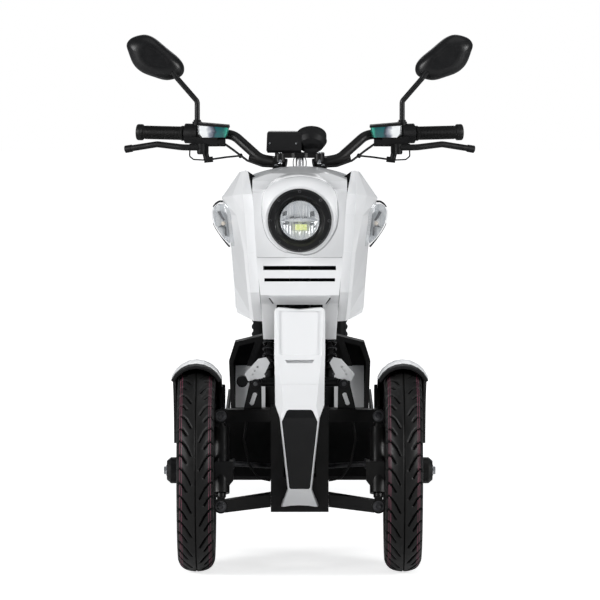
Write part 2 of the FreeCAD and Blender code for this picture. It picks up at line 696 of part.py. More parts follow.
def swingarm():
    """Two arms from the pivot to the rear axle, joined ahead of the wheel."""
    tyre_front = rear_y(REAR_TYRE_R)
    waist = PIVOT_Y + 0.426 * (WHEELBASE - PIVOT_Y)
    end, half_t = WHEELBASE + 34.0, 17.0
    pieces = []
    for side in (-1, 1):
        x = side * 72.0
        pieces.append(
            loft(
                [
                    [(x - 10, PIVOT_Y - 20, PIVOT_Z - 18), (x + 10, PIVOT_Y - 20, PIVOT_Z - 18),
                     (x + 10, PIVOT_Y - 20, PIVOT_Z + 20), (x - 10, PIVOT_Y - 20, PIVOT_Z + 20)],
                    [(x - 10, waist, REAR_TYRE_R - 17), (x + 10, waist, REAR_TYRE_R - 17),
                     (x + 10, waist, REAR_TYRE_R + 33), (x - 10, waist, REAR_TYRE_R + 33)],
                    [(x - 6, end, REAR_TYRE_R - half_t), (x + 6, end, REAR_TYRE_R - half_t),
                     (x + 6, end, REAR_TYRE_R + half_t), (x - 6, end, REAR_TYRE_R + half_t)],
                ]
            )
        )
    room = tyre_front - PIVOT_Y
    bridge = block(-72, 72, PIVOT_Y + room / 3, PIVOT_Y + room * 0.54, REAR_TYRE_R - 7, REAR_TYRE_R + 33)
    x, y, z = REAR_SHOCK_LOW
    eye_half = SHOCK_EYE_W / 2 + SEAT_GAP
    root = REAR_TYRE_R + 7
    lug = plate_yz([(y - 24, root), (y + 24, root), (y + 11, z + 3), (y - 11, z + 3)], 72.0, x - eye_half)
    lugs = both_sides(lug) + both_sides(rod((74.0, y, z), (x + eye_half, y, z), PIN_R))
    bosses = both_sides(rod((62, PIVOT_Y, PIVOT_Z), (82, PIVOT_Y, PIVOT_Z), PIVOT_R + 10.0))
    axle = rod((-96, WHEELBASE, REAR_TYRE_R), (96, WHEELBASE, REAR_TYRE_R), AXLE_R)
    nuts = [rod((s * 76, WHEELBASE, REAR_TYRE_R), (s * 92, WHEELBASE, REAR_TYRE_R), 17.0) for s in (-1, 1)]
    bore = rod((-200, PIVOT_Y, PIVOT_Z), (200, PIVOT_Y, PIVOT_Z), PIVOT_R + SEAT_GAP)
    return union(pieces + [bridge, axle] + lugs + bosses + nuts).cut(bore)


def shock(bottom, top, coil_r, turns):
    """A coil-over, turned as one round body with a wavy spring, and a bored eye at each end."""
    a, b = V(*bottom), V(*top)
    length = (b - a).Length
    spring_low, spring_high = length * 0.2, length * 0.86
    pitch = (spring_high - spring_low) / turns
    profile = [(0.0, 6.0), (coil_r * 0.5, 6.0), (coil_r * 0.5, spring_low - 5.0), (coil_r, spring_low - 5.0)]
    for i in range(turns):
        z = spring_low + pitch * i
        profile += [(coil_r, z), (coil_r - 5.0, z + pitch / 2)]
    profile += [(coil_r, spring_high), (coil_r, spring_high + 5.0), (coil_r * 0.4, spring_high + 5.0),
                (coil_r * 0.4, length - 6.0), (0.0, length - 6.0)]
    body = Part.Face(polygon([(r, 0, z) for r, z in profile])).revolve(V(0, 0, 0), V(0, 0, 1), 360)
    body.Placement = FreeCAD.Placement(a, FreeCAD.Rotation(V(0, 0, 1), b - a))
    half = SHOCK_EYE_W / 2
    eyes = [rod((p.x - half, p.y, p.z), (p.x + half, p.y, p.z), SHOCK_EYE_R) for p in (a, b)]
    whole = union([body] + eyes)
    for p in (a, b):
        whole = whole.cut(rod((p.x - 20, p.y, p.z), (p.x + 20, p.y, p.z), PIN_R + SEAT_GAP))
    return whole


def shock_absorbers():
    front = shock(SHOCK_LOW, SHOCK_HIGH, 17.0, 6)
    rear = shock(REAR_SHOCK_LOW, REAR_SHOCK_HIGH, 19.0, 9)
    return both_sides(front) + both_sides(rear)


def tilt_lock():
    """The pale plates that lock the tilt, each with a row of holes."""
    outline = [(122, 437), (92, 470), (74, 474), (66, 462), (82, 428), (114, 421)]
    plate = plate_xz(outline, TOWER_FRONT - 8.0, TOWER_FRONT - SEAT_GAP)
    for x, z in ((103, 437), (99, 445), (93, 453)):
        plate = plate.cut(rod((x, 0, z), (x, 40, z), 2.4))
    head = rod((TOWER_X, TOWER_FRONT - 13.0, TOWER_Z), (TOWER_X, TOWER_FRONT - SEAT_GAP, TOWER_Z), 9.0)
    return both_sides(union([plate, head]))


def horn():
    x, z = -127.5, 419.0
    rear = tower_boss_rear() + SEAT_GAP
    body = rod((x, TOWER_FRONT + 1.0, z), (x, TOWER_FRONT + 18.0, z), 12.5)
    post = rod((x, TOWER_FRONT + 16.0, z), (x, rear + 3.0, z), 5.0)
    strap = block(x - 3, -TOWER_X, rear, rear + 3.0, z - 6, z + 6)
    return union([body, post, strap])


# Front bodywork

PILLAR_LEVELS = (
    # height, front half width, side half width, front Y, side Y
    (588.0, 52.0, 56.0, -30.0, -24.0),
    (488.0, 48.5, 56.0, -75.0, -64.0),
    (426.0, 41.0, 54.5, -90.0, -69.0),
    (377.0, 36.5, 54.0, -98.0, -71.0),
    (352.0, 41.5, 44.0, -102.0, -94.0),
    (191.0, 25.0, 27.0, -82.0, -74.0),
    (150.0, 39.0, 41.0, -58.0, -50.0),
)
PILLAR_BACK = COLUMN_FRONT - SEAT_GAP
# right half of each outline: the trimmed ends, the sunk upper face and the insert
PILLAR_ENDS = ((0.0, 583.5), (32.0, 586.5), (47.0, 587.5), (53.0, 585.5), (56.5, 578.0), (60.0, 560.0), (60.0, 149.0),
               (39.5, 149.0), (20.0, 152.5), (0.0, 153.5))
UPPER_FACE = ((44.0, 581.0), (46.5, 578.0), (44.5, 492.0), (41.5, 488.5))
INSERT_OUTLINE = ((24.0, 369.5), (28.5, 367.0), (39.0, 343.5), (22.8, 196.0), (20.0, 192.5))
SCOOP_Z = 474.0
SEAM_Z = 425.6


def pillar_form():
    sections = []
    for z, front_half, side_half, front_y, side_y in PILLAR_LEVELS:
        sections.append(
            [(-side_half, PILLAR_BACK, z), (-side_half, side_y, z), (-front_half, front_y, z),
             (front_half, front_y, z), (side_half, side_y, z), (side_half, PILLAR_BACK, z)]
        )
    return loft(sections)


def whole_outline(half):
    return list(half) + [(-x, z) for x, z in reversed(half) if x]


def insert_layer(form, margin, depth):
    """The front skin of the pillar inside the insert's outline."""
    half = [(x + margin, z) for x, z in INSERT_OUTLINE]
    half[0] = (half[0][0], half[0][1] + margin)
    half[-1] = (half[-1][0], half[-1][1] - margin)
    return skin_cut(form, whole_outline(half), depth)


def front_pillar():
    """The white pillar: edge strips beside a sunk face, a scoop, a seam and room for the insert."""
    form = pillar_form()
    shell = form.common(plate_xz(whole_outline(PILLAR_ENDS), -200, 0))
    for low, high in ((100.0, SCOOP_Z - 14.0), (SCOOP_Z + 18.0, 572.0)):
        shell = shell.cut(moved(form, dy=WALL + 4.0).common(block(-36.0, 36.0, -200, 0, low, high)))
    scoop = loft(
        [
            [(-33, -95, SCOOP_Z + 5), (33, -95, SCOOP_Z + 5), (29, -95, SCOOP_Z - 5), (-29, -95, SCOOP_Z - 5)],
            [(-31, -66, SCOOP_Z + 2), (31, -66, SCOOP_Z + 2), (28, -66, SCOOP_Z - 3), (-28, -66, SCOOP_Z - 3)],
        ]
    )
    seam = skin_cut(form, [(-60, SEAM_Z), (60, SEAM_Z), (60, SEAM_Z - 1.4), (-60, SEAM_Z - 1.4)], 1.2)
    upper = skin_cut(form, whole_outline(UPPER_FACE), 3.5)
    return shell.cut(insert_layer(form, SEAT_GAP, 4.0)).cut(upper).cut(scoop).cut(seam)


def pillar_insert():
    return insert_layer(pillar_form(), 0.0, 3.6)


def shield_form():
    """The outside of the nose: the front outline and the side outline cut into each other."""
    half = [(81.0, 507.0), (87.0, 613.0), (95.5, 697.0), (104.5, 842.0), (104.5, 866.0)]
    right = [(-x, z) for x, z in reversed(half)]
    start, top, end = V(104.5, -120, 866), V(0, -120, SHIELD_TOP), V(-104.5, -120, 866)
    crown = Part.Arc(start, top, end).toShape()
    rest = Part.makePolygon([V(x, -120, z) for x, z in right + half])
    front = Part.Face(Part.Wire(Part.__sortEdges__([crown] + rest.Edges))).extrude(V(0, 500, 0))
    side = plate_yz(
        [(92, 507), (34, 583), (3, 613), (-4, 697), (6, 838), (0, 848), (24, 864), (80, 877), (225, 886), (225, 507)],
        -120, 120,
    )
    chin = plate_yz([(3, 611), (28, 583), (84, 512), (96, 512), (60, 611)], -70, 70).common(
        plate_xz([(-69, 611), (69, 611), (51, 583), (40, 512), (-40, 512), (-51, 583)], 0, 120)
    )
    return union([front.common(side), chin])


def hood_ring(y, fullness):
    """A ring between the lamp's round lip, at 0, and the hood's egg shape, at 1."""
    points = []
    widest = LAMP_Z + HOOD_WIDEST
    lip = BEZEL_R + 5.0
    for i in range(24):
        angle = 2 * math.pi * i / 24
        c, s = math.cos(angle), math.sin(angle)
        high = (HOOD_ABOVE if s > 0 else HOOD_BELOW + 2 * HOOD_WIDEST) - HOOD_WIDEST
        x = lip * c + fullness * (HOOD_HALF_W - lip) * c
        z = LAMP_Z + lip * s + fullness * (widest + high * s - LAMP_Z - lip * s)
        points.append(V(x, y, z))
    curve = Part.BSplineCurve()
    curve.interpolate(points, PeriodicFlag=True)
    return Part.Wire(curve.toShape())


def lamp_hood():
    """The egg-shaped swelling that carries the headlamp."""
    rings = [hood_ring(64, 1.0), hood_ring(12, 0.96), hood_ring(-22, 0.7), hood_ring(-44, 0.0)]
    return Part.makeLoft(rings, True, False)


def nose_shield():
    outer = shield_form()
    inner = moved(outer, dy=WALL + 1.0, dz=-WALL).common(block(-80.0, 80.0, -120, 400, 400, 900))
    sides_open = block(-200, 200, 110, 400, 400, 620)
    shell = union([outer, lamp_hood()]).cut(inner).cut(sides_open)
    socket = rod((0, -80, LAMP_Z), (0, 80, LAMP_Z), BEZEL_R - 6.0)
    seat = rod((0, -80, LAMP_Z), (0, -30, LAMP_Z), BEZEL_R + SEAT_GAP)
    shell = shell.cut(socket).cut(seat)
    seam = skin_cut(outer, [(-92, 697.6), (92, 697.6), (92, 696.2), (-92, 696.2)], 1.2)
    shell = shell.cut(seam)
    for z, half in ((673.5, 80.5), (647.0, 78.0)):
        slot_high = 9.5 if z > 660 else 7.5
        shell = shell.cut(block(-half, half, -60, 40, z - slot_high / 2, z + slot_high / 2))
    head_room = raked(Part.makeCylinder(HEAD_TUBE_R + 12.0, 1200, V(0, 0, -100)), STEM_ORIGIN)
    column_room = block(-COLUMN_HALF_W - 3, COLUMN_HALF_W + 3, -20, 150, 400, 590)
    shock_room = block(-SHOCK_X - 22, SHOCK_X + 22, 40, 170, 400, 590)
    return shell.cut(head_room).cut(column_room).cut(shock_room)


def shoulder_form():
    """The left faceted shoulder beside the nose, as one solid."""
    rear = 300.0
    return skin(
        [
            [(84, 84, 547), (102, 86, 548), (111, 100, 550), (140, 176, 558), (130, rear, 560), (84, rear, 560)],
            [(85, 72, 566), (104, 74, 566), (112, 90, 567), (144, 192, 570), (139, rear, 570), (85, rear, 570)],
            [(89, 38, 616), (109, 40, 616), (116, 56, 616), (147, 200, 617), (146, rear, 617), (89, rear, 617)],
            [(95, 22, 706), (116, 25, 706), (124, 46, 706), (154, 200, 704), (150, rear, 704), (95, rear, 704)],
            [(101, 34, 790), (122, 37, 790), (140, 92, 782), (163, 200, 779), (156, rear, 775), (101, rear, 775)],
            [(105, 44, 835), (126, 48, 833), (150, 110, 826), (175, 200, 815), (158, rear, 800), (105, rear, 800)],
            [(115, 112, 881), (121, 113, 881.5), (130, 128, 879), (135, 146, 875), (120, rear, 846), (112, rear, 846)],
        ]
    )


def shoulder():
    form = shoulder_form()
    hollow = moved(form, dx=-WALL, dy=WALL, dz=-2.0)
    return form.cut(hollow).cut(moved(shield_form(), dx=SEAT_GAP))


def headlight_bezel():
    profile = [
        (BEZEL_R, -32.0),
        (BEZEL_R, -48.0),
        (BEZEL_R - 4.0, -56.0),
        (BEZEL_R - 14.0, -58.0),
        (LENS_R + 7.0, -50.0),
        (LENS_R + 1.0, -44.0),
        (LENS_R + 1.0, -32.0),
    ]
    face = Part.Face(polygon([(r, y, LAMP_Z) for r, y in profile]))
    return face.revolve(V(0, 0, LAMP_Z), V(0, 1, 0), 360)


def headlight_lens():
    face_y, dome, back = -47.0, 6.0, -30.0
    disc = rod((0, back, LAMP_Z), (0, face_y, LAMP_Z), LENS_R)
    ball_r = (LENS_R**2 + dome**2) / (2 * dome)
    ball = Part.makeSphere(ball_r, V(0, face_y - dome + ball_r, LAMP_Z))
    front = ball.common(rod((0, face_y - dome - 1, LAMP_Z), (0, face_y, LAMP_Z), LENS_R))
    return union([disc, front])


def front_signals():
    """The clear crescent turn lamps that stand out from the shoulders."""
    rings = []
    for z, reach in (
        (709.0, 162.0), (722.0, 173.0), (737.0, 184.0), (752.0, 192.5), (768.0, 197.5), (784.0, 198.8),
        (795.0, 194.0), (802.0, 187.0), (806.5, 180.0),
    ):
        rings.append(
            [(146, 150, z), (146 + (reach - 146) * 0.5, 164, z), (reach - 4, 184, z), (reach, 203, z),
             (reach - 8, 228, z), (146, 238, z)]
        )
    return both_sides(skin(rings).cut(moved(shoulder_form(), dx=SEAT_GAP)))


def leg_shield():
    """The black panel in front of the rider's legs, with its flared lower arch."""
    half = [
        (90.0, 852.0), (140.0, 812.0), (150.0, 700.0), (138.0, 590.0), (100.0, 548.0), (80.0, 540.0),
        (80.0, 498.0), (146.0, 482.0), (160.0, 438.0), (156.0, FLOOR_TOP),
    ]
    outline = half + [(-x, z) for x, z in reversed(half)]
    slab = plate_xz(outline, 250, 380)
    outer_side = plate_yz(
        [(304, 868), (304, 560), (274, 500), (268, FLOOR_TOP), (306, FLOOR_TOP), (322, 500), (352, 640), (346, 868)],
        -200, 200,
    )
    outer = slab.common(outer_side)
    inner_half = [
        (82.0, 844.0), (132.0, 806.0), (142.0, 700.0), (130.0, 596.0), (96.0, 558.0), (70.0, 548.0),
        (70.0, 490.0), (137.0, 473.0), (150.0, 436.0), (146.0, FLOOR_TOP - 1),
    ]
    inner_outline = inner_half + [(-x, z) for x, z in reversed(inner_half)]
    hollow = plate_xz(inner_outline, 250, 380).common(moved(outer_side, dy=-WALL - 1.0))
    column_room = raked(Part.makeCylinder(HEAD_TUBE_R + 8.0, 1200, V(0, 0, -100)), STEM_ORIGIN)
    brace = plate_xz([(82, 494), (97, 494), (119, 428), (105, 428)], 270, 307)
    return union([outer.cut(hollow)] + both_sides(brace)).cut(column_room)


def leg_panels():
    """The white panels inside the lower arch, lying on its sloping wall."""
    low, high = FLOOR_TOP + 0.5, 426.0
    wall_low, wall_high = 300.0 - SEAT_GAP, 309.0 - SEAT_GAP
    slab = plate_yz([(wall_low - 7, low), (wall_low, low), (wall_high, high), (wall_high - 7, high)], 78, 145.5)
    return both_sides(slab)


def lower_fairing():
    """The black tray under the floor, closed at the front by the splash wall."""
    half = FLOOR_HALF_W + 12.0
    side = [
        (TRAY_FRONT, TRAY_LOW + 10), (TRAY_FRONT, FLOOR_TOP - 8), (TRAY_REAR + 60, FLOOR_TOP - 8),
        (TRAY_REAR + 60, FLOOR_TOP - 60), (TRAY_REAR - 20, TRAY_LOW), (TRAY_FRONT + 10, TRAY_LOW),
    ]
    outer = plate_yz(side, -half, half)
    inner = moved(outer, dy=WALL, dz=WALL).common(moved(outer, dy=-WALL)).common(
        block(-half + WALL, half - WALL, 0, 2000, 0, 1000)
    )
    tray = outer.cut(inner)
    tray = tray.cut(block(-52, 52, TRAY_FRONT - 2, TRAY_FRONT + WALL + 8, 164, 206))
    backbone_room = block(-24, 24, 200, 320, 225, 400)
    rear_room = block(-half + WALL, half - WALL, TRAY_REAR - 40, TRAY_REAR + 100, 0, 1000)
    return tray.cut(backbone_room).cut(rear_room)


def floorboard():
    half, front, rear = FLOOR_HALF_W, 300.0, TRAY_REAR - 60.0
    outline = [(-half, front), (half, front), (half, rear - 80), (118, rear), (-118, rear), (-half, rear - 80)]
    board = plate_xy(outline, FLOOR_TOP - 7.5, FLOOR_TOP - 0.5)
    ribs = [block(x - 6, x + 6, front + 30, rear - 50, FLOOR_TOP - 1, FLOOR_TOP + 3) for x in range(-120, 121, 30)]
    return union([board] + ribs)


def battery():
    """The pack in the tray, from behind the front cross tube to ahead of the tray's end."""
    return block(-112, 112, FRONT_TIE_Y + 20, TRAY_REAR - 50, TRAY_LOW + WALL + SEAT_GAP, FLOOR_TOP - 16)


# Rear bodywork


def hinge_root(x, y_span, z_span):
    """A round lug about the seat's hinge pin, rooted in a block."""
    half = HINGE_LUG_T / 2
    at = [(side, SEAT_HINGE_Y, SEAT_HINGE_Z) for side in (x - half, x + half)]
    return rod(at[0], at[1], SEAT_BASE_Z - SEAT_HINGE_Z).fuse(block(x - half, x + half, *y_span, *z_span))


def ring_xy(half_front, half_rear, front, rear, z):
    """A four-cornered section of the rear body; front and rear are ahead of the rear axle."""
    return [(-half_front, rear_y(front), z), (half_front, rear_y(front), z), (half_rear, rear_y(rear), z),
            (-half_rear, rear_y(rear), z)]


def seat_box():
    """The body under the seat: a faceted box with a hollow bin, and the tail."""
    front = loft(
        [ring_xy(80, 80, 620, 500, FLOOR_TOP), ring_xy(82, 82, 638, 390, 520), ring_xy(82, 82, 644, 346, 630)]
    )
    tail = loft(
        [ring_xy(100, 90, 646, TAIL_REACH, TAIL_LOW), ring_xy(118, 92, 650, TAIL_REACH - 90, SEAT_BASE_Z)]
    )
    bin_room = loft([ring_xy(72, 72, 608, 470, 400), ring_xy(72, 72, 630, 360, 720)])
    lug_r = SEAT_BASE_Z - SEAT_HINGE_Z
    lug_z = (SEAT_HINGE_Z - lug_r, SEAT_BASE_Z)
    lugs = both_sides(hinge_root(HINGE_LUG_X, (SEAT_HINGE_Y, SEAT_HINGE_Y + 14.0), lug_z))
    pin_end = HINGE_LUG_X + HINGE_LUG_T * 1.5
    pin = rod((-pin_end, SEAT_HINGE_Y, SEAT_HINGE_Z), (pin_end, SEAT_HINGE_Y, SEAT_HINGE_Z), HINGE_PIN_R)
    box = union([front, tail] + lugs + [pin]).cut(bin_room)
    for x in (-CARRIER_X, CARRIER_X):
        for y in (CARRIER_Y - CARRIER_HALF_Y, CARRIER_Y + CARRIER_HALF_Y):
            box = box.cut(rod((x, y, SEAT_BASE_Z - 22.0), (x, y, SEAT_BASE_Z + 5.0), CARRIER_HOLE_R))
    return box


def tail_slope(z):
    """How far back the tail's sloping end lies at height z."""
    return rear_y(TAIL_REACH) + 90.0 * (z - TAIL_LOW) / (SEAT_BASE_Z - TAIL_LOW)


def tail_lamp():
    low, high = 640.0, 692.0
    near, far = tail_slope(low) + SEAT_GAP, tail_slope(high) + SEAT_GAP
    return plate_yz([(near, low), (near + 14, low + 2), (far + 10, high - 2), (far, high)], -62, 62)


def rear_fender():
    """Hugger over the rear wheel, with the plate holder behind it."""
    r = REAR_TYRE_R + 16.0
    half = REAR_TYRE_W / 2 + 8.0
    hugger = ring_about_x(
        [(-half, r - 22), (-half, r + 3), (half, r + 3), (half, r - 22), (half - 3, r - 22), (half - 3, r),
         (-half + 3, r), (-half + 3, r - 22)],
        0, WHEELBASE, REAR_TYRE_R, 112.0, -34.0,
    )
    rear_end = WHEELBASE + REAR_OVERHANG
    low = TAIL_LOW - SEAT_GAP
    arm_part = plate_yz(
        [(rear_y(0), low), (rear_y(-60), low), (rear_y(-130), low - 30), (rear_end - 3, 474), (rear_end - 26, 462),
         (rear_y(-120), 560), (rear_y(0), low - 6)],
        -40, 40,
    )
    holder = block(-90, 90, rear_end - 6, rear_end, 382, 478)
    for x in (-PLATE_BOLT_X, PLATE_BOLT_X):
        holder = holder.cut(rod((x, rear_end - 50, PLATE_BOLT_Z), (x, rear_end + 50, PLATE_BOLT_Z), 3.0))
    return union([arm_part, holder]), hugger


def grab_rail():
    side = [(112, rear_y(210), 682), (150, rear_y(204), 700), (150, rear_y(150), 752), (146, rear_y(30), 762),
            (112, rear_y(-132), 766)]
    path = [(-x, y, z) for x, y, z in side] + side[::-1]
    cross_y, cross_z = rear_y(-56), SEAT_BASE_Z + SEAT_GAP + 8.0
    cross = rod((-92, cross_y, cross_z), (92, cross_y, cross_z), 8.0)
    posts = [rod((s * 84, cross_y, cross_z), (s * 96, rear_y(-131), 764), 7.0) for s in (-1, 1)]
    return union([bent_tube(path, 24.0, 10.0), cross] + posts)


def seat():
    """The saddle in two levels."""
    low = SEAT_BASE_Z + SEAT_GAP
    profile = [
        (670, low), (672, 740), (630, 752), (410, 748), (340, 770), (270, 796), (30, 800), (-30, 780), (-40, low),
    ]
    body = plate_yz([(rear_y(ahead), z) for ahead, z in profile], -116, 116)
    half = [(70, 674), (112, 570), (116, 290), (92, -40)]
    plan = [(x, rear_y(ahead)) for x, ahead in half + [(-x, ahead) for x, ahead in reversed(half)]]
    lug_r = SEAT_BASE_Z - SEAT_HINGE_Z
    ear_x = HINGE_LUG_X + HINGE_LUG_T + SEAT_GAP
    ear = hinge_root(ear_x, (SEAT_HINGE_Y - lug_r, SEAT_HINGE_Y + lug_r), (SEAT_HINGE_Z, SEAT_BASE_Z + 2.0))
    pin_room = rod((-100, SEAT_HINGE_Y, SEAT_HINGE_Z), (100, SEAT_HINGE_Y, SEAT_HINGE_Z), HINGE_PIN_R + RUNNING_GAP)
    return union([body.common(plate_xy(plan, 690, 830))] + both_sides(ear)).cut(pin_room)


# Handlebar group


def stem():
    """The steering shaft, necked above the head tube, with its drop arm."""
    shoulder_at = STEM_TOP - 62.0
    shaft = Part.makeCylinder(STEM_R, shoulder_at + 14.0, V(0, 0, -14.0))
    neck = Part.makeCylinder(STEM_NECK_R, STEM_TOP - 1.0, V(0, 0, 0))
    collar = Part.makeCylinder(STEM_R + 8.0, 20.0, V(0, 0, 20.0))
    arm_t = 10.0
    lever = Part.makeBox(22.0, STEER_ARM, arm_t, V(-11.0, 0, -arm_t / 2))
    tip = Part.makeCylinder(11.0, arm_t, V(0, STEER_ARM, -arm_t / 2))
    pin_len = TIE_ROD_DROP + TIE_TONGUE_T / 2 + SEAT_GAP + TIE_TINE_T + 2.0
    pin = Part.makeCylinder(PIN_R, pin_len, V(0, STEER_ARM, -pin_len))
    return raked(union([shaft, neck, collar, lever, tip, pin]), STEM_ORIGIN)


BAR_POINTS = ((30.0, 276.0, 886.0), (90.0, 288.0, 897.0), (150.0, 320.0, 949.0), (BAR_END_X, 378.0, 951.0))


def stem_at(z):
    return along_rake(STEM_ORIGIN, (z - PITMAN_Z) / COS_RAKE)


def handlebar():
    """The bar in its cast clamps, under the top plate with its bolted lobes."""
    centre_y = stem_at(PLATE_Z)[1]
    low, high = PLATE_Z - 5, PLATE_Z + 6
    corner = [(56, 12), (48, 22), (18, 22), (12, 18)]
    outline = corner + [(-x, y) for x, y in reversed(corner)] + [(-x, -y) for x, y in corner]
    outline += [(x, -y) for x, y in reversed(corner)]
    plate = plate_xy([(x, centre_y + y) for x, y in outline], low, high)
    lobe = rod((44, centre_y - 14, low - 8), (44, centre_y - 14, high - 1), 11.0)
    clamp = block(CLAMP_X - 11, CLAMP_X + 11, centre_y - 18, centre_y + 18, 872, low + 1)
    x, y, z = BAR_POINTS[0]
    casting = cone((CLAMP_X - 11, y + 2, z), (113, 294, 899), 14.5, 10.5)
    bar = bent_tube(BAR_POINTS, 45.0, BAR_R)
    half = [lobe, clamp, casting, bar]
    bore = raked(Part.makeCylinder(STEM_NECK_R, 900, V(0, 0, 0)), STEM_ORIGIN)
    return union([plate] + half + [mirrored(piece) for piece in half]).cut(bore)


def on_bar(x):
    """Point on the outer straight of the bar at x."""
    a, b = BAR_POINTS[2], BAR_POINTS[3]
    t = (x - a[0]) / (b[0] - a[0])
    return (x, a[1] + t * (b[1] - a[1]), a[2] + t * (b[2] - a[2]))


def grips():
    inner, outer = on_bar(262.0), on_bar(BAR_END_X - 2.0)
    flange_at = on_bar(BAR_END_X - 12.0)
    grip = union([rod(inner, outer, GRIP_R), rod(flange_at, on_bar(BAR_END_X + 3.0), GRIP_FLANGE_R)])
    bore = rod(on_bar(200.0), on_bar(BAR_END_X), BAR_R + 0.1)
    return both_sides(grip.cut(bore))


def controls():
    """Switch housing, master cylinder, reservoir, brake lever and hose of the left hand."""
    bore = rod(on_bar(155.0), on_bar(BAR_END_X), BAR_R + 0.1)
    housing = union([rod(on_bar(229.0), on_bar(258.0), 22.5), rod(on_bar(222.0), on_bar(230.0), 20.0)])
    x, y, z = MIRROR_BASE
    boss = union([rod((x, y, 950), (x, y, z), 8.5), rod((x, y, z - 14), (x, y, z - 4), 11.0)])
    perch = rod(on_bar(190.0), on_bar(214.0), 17.0)
    cylinder = union([rod((168, 312, 933), (226, 314, 933), 10.5), block(186, 246, 302, 328, 923, 944)])
    reservoir = loft(
        [
            [(166, 300, 943), (222, 300, 943), (222, 332, 943), (166, 332, 943)],
            [(163, 297, 952), (228, 297, 952), (228, 335, 952), (163, 335, 952)],
            [(160, 296, 966), (229, 296, 971), (229, 336, 971), (160, 336, 966)],
        ]
    )
    cap = loft(
        [
            [(158, 294, 966), (230, 294, 971), (230, 338, 971), (158, 338, 966)],
            [(159, 295, 971), (229, 295, 977), (229, 337, 977), (159, 337, 971)],
        ]
    )
    pivot = rod((222, 296, 906), (222, 296, 930), 9.0)
    neck = block(206, 232, 296, 326, 908, 926)
    socket = union([rod((216, 308, 892), (196, 308, 894), 6.5), rod((210, 308, 894), (214, 310, 912), 7.0)])
    lever = bent_tube([(218, 296, 921), (264, 288, 922), (322, 306, 928), (388, 333, 916)], 26.0, 7.0)
    ball = rod((380, 330.5, 917.3), (394, 336.2, 914.6), 8.5)
    loop = bent_tube([(248, 326, 928), (249, 318, 900), (240, 312, 893), (214, 308, 892)], 6.0, 1.6)
    stem_x, stem_y, stem_z = stem_at(868.0)
    run = [(176, 312, 933), (152, 300, 917), (118, 276, 893), (84, 257, 882), (46, 254, 880), (26, 259, 876),
           (stem_x + STEM_NECK_R + SEAT_GAP + HOSE_R / 2, stem_y, stem_z)]
    hose = bent_tube(run, 9.0, HOSE_R)
    cable = bent_tube([(198, 308, 894), (166, 302, 899), (134, 289, 903)], 20.0, 2.2)
    tie = rod((131, 287, 904), (136, 290, 902), 5.0)
    round_bar = [piece.cut(bore) for piece in (housing, boss, perch, cylinder, reservoir)]
    return union(round_bar + [cap, pivot, neck, socket, lever, ball, loop, hose, cable, tie])


def mirrors():
    x, y, z = MIRROR_BASE
    stalk = bent_tube(
        [(x, y, z + SEAT_GAP), (x, y, 1023), (277, y, 1075), (288, y, 1090)], 12.0, 6.0)
    outline = [
        (262, 1092), (268, 1080), (283, 1073), (302, 1070), (330, 1077), (356, 1087), (376, 1105), (389, 1136),
        (392, 1150), (384, 1163), (366, 1171), (350, 1173), (330, 1166), (300, 1142), (272, 1118),
    ]

    def ring(scale, y):
        cx, cz = 328.0, 1121.0
        pts = [V(cx + (x - cx) * scale, y, cz + (z - cz) * scale) for x, z in outline]
        curve = Part.BSplineCurve()
        curve.interpolate(pts, PeriodicFlag=True)
        return Part.Wire(curve.toShape())

    head = Part.makeLoft([ring(1.0, 366), ring(0.97, 354), ring(0.8, 342), ring(0.4, 336)], True, False)
    return both_sides(union([stalk, head]))


def instrument():
    """Round dial with a domed back and the box beside it, on the top plate."""
    y = stem_at(PLATE_Z)[1]
    profile = [
        (0.0, -24.5), (16.0, -24.5), (27.0, -19.0), (33.0, -9.0), (34.5, 2.0), (34.5, 11.0), (30.0, 13.0),
        (0.0, 13.0),
    ]
    dial = Part.Face(polygon([(r, 0, z) for r, z in profile])).revolve(V(0, 0, 0), V(0, 0, 1), 360)
    dial.rotate(V(0, 0, 0), V(1, 0, 0), -42.0)
    dial.translate(V(26.0, y, 941.0))
    low = PLATE_Z + 6.0 + SEAT_GAP
    foot = block(10, 42, y - 14, y + 16, low, 940)
    box = plate_yz(
        [(y - 18, low), (y - 24, low + 6), (y - 25, 952), (y - 20, 958), (y + 20, 958), (y + 24, 950), (y + 18, low)],
        -75, 4,
    ).common(plate_xz([(-72, low - 1), (-75, low + 6), (-73.5, 954), (-69, 959), (4, 959), (4, low - 1)], 0, 600))
    return union([dial, foot, box]).common(block(-100, 100, 0, 600, low, 1100))


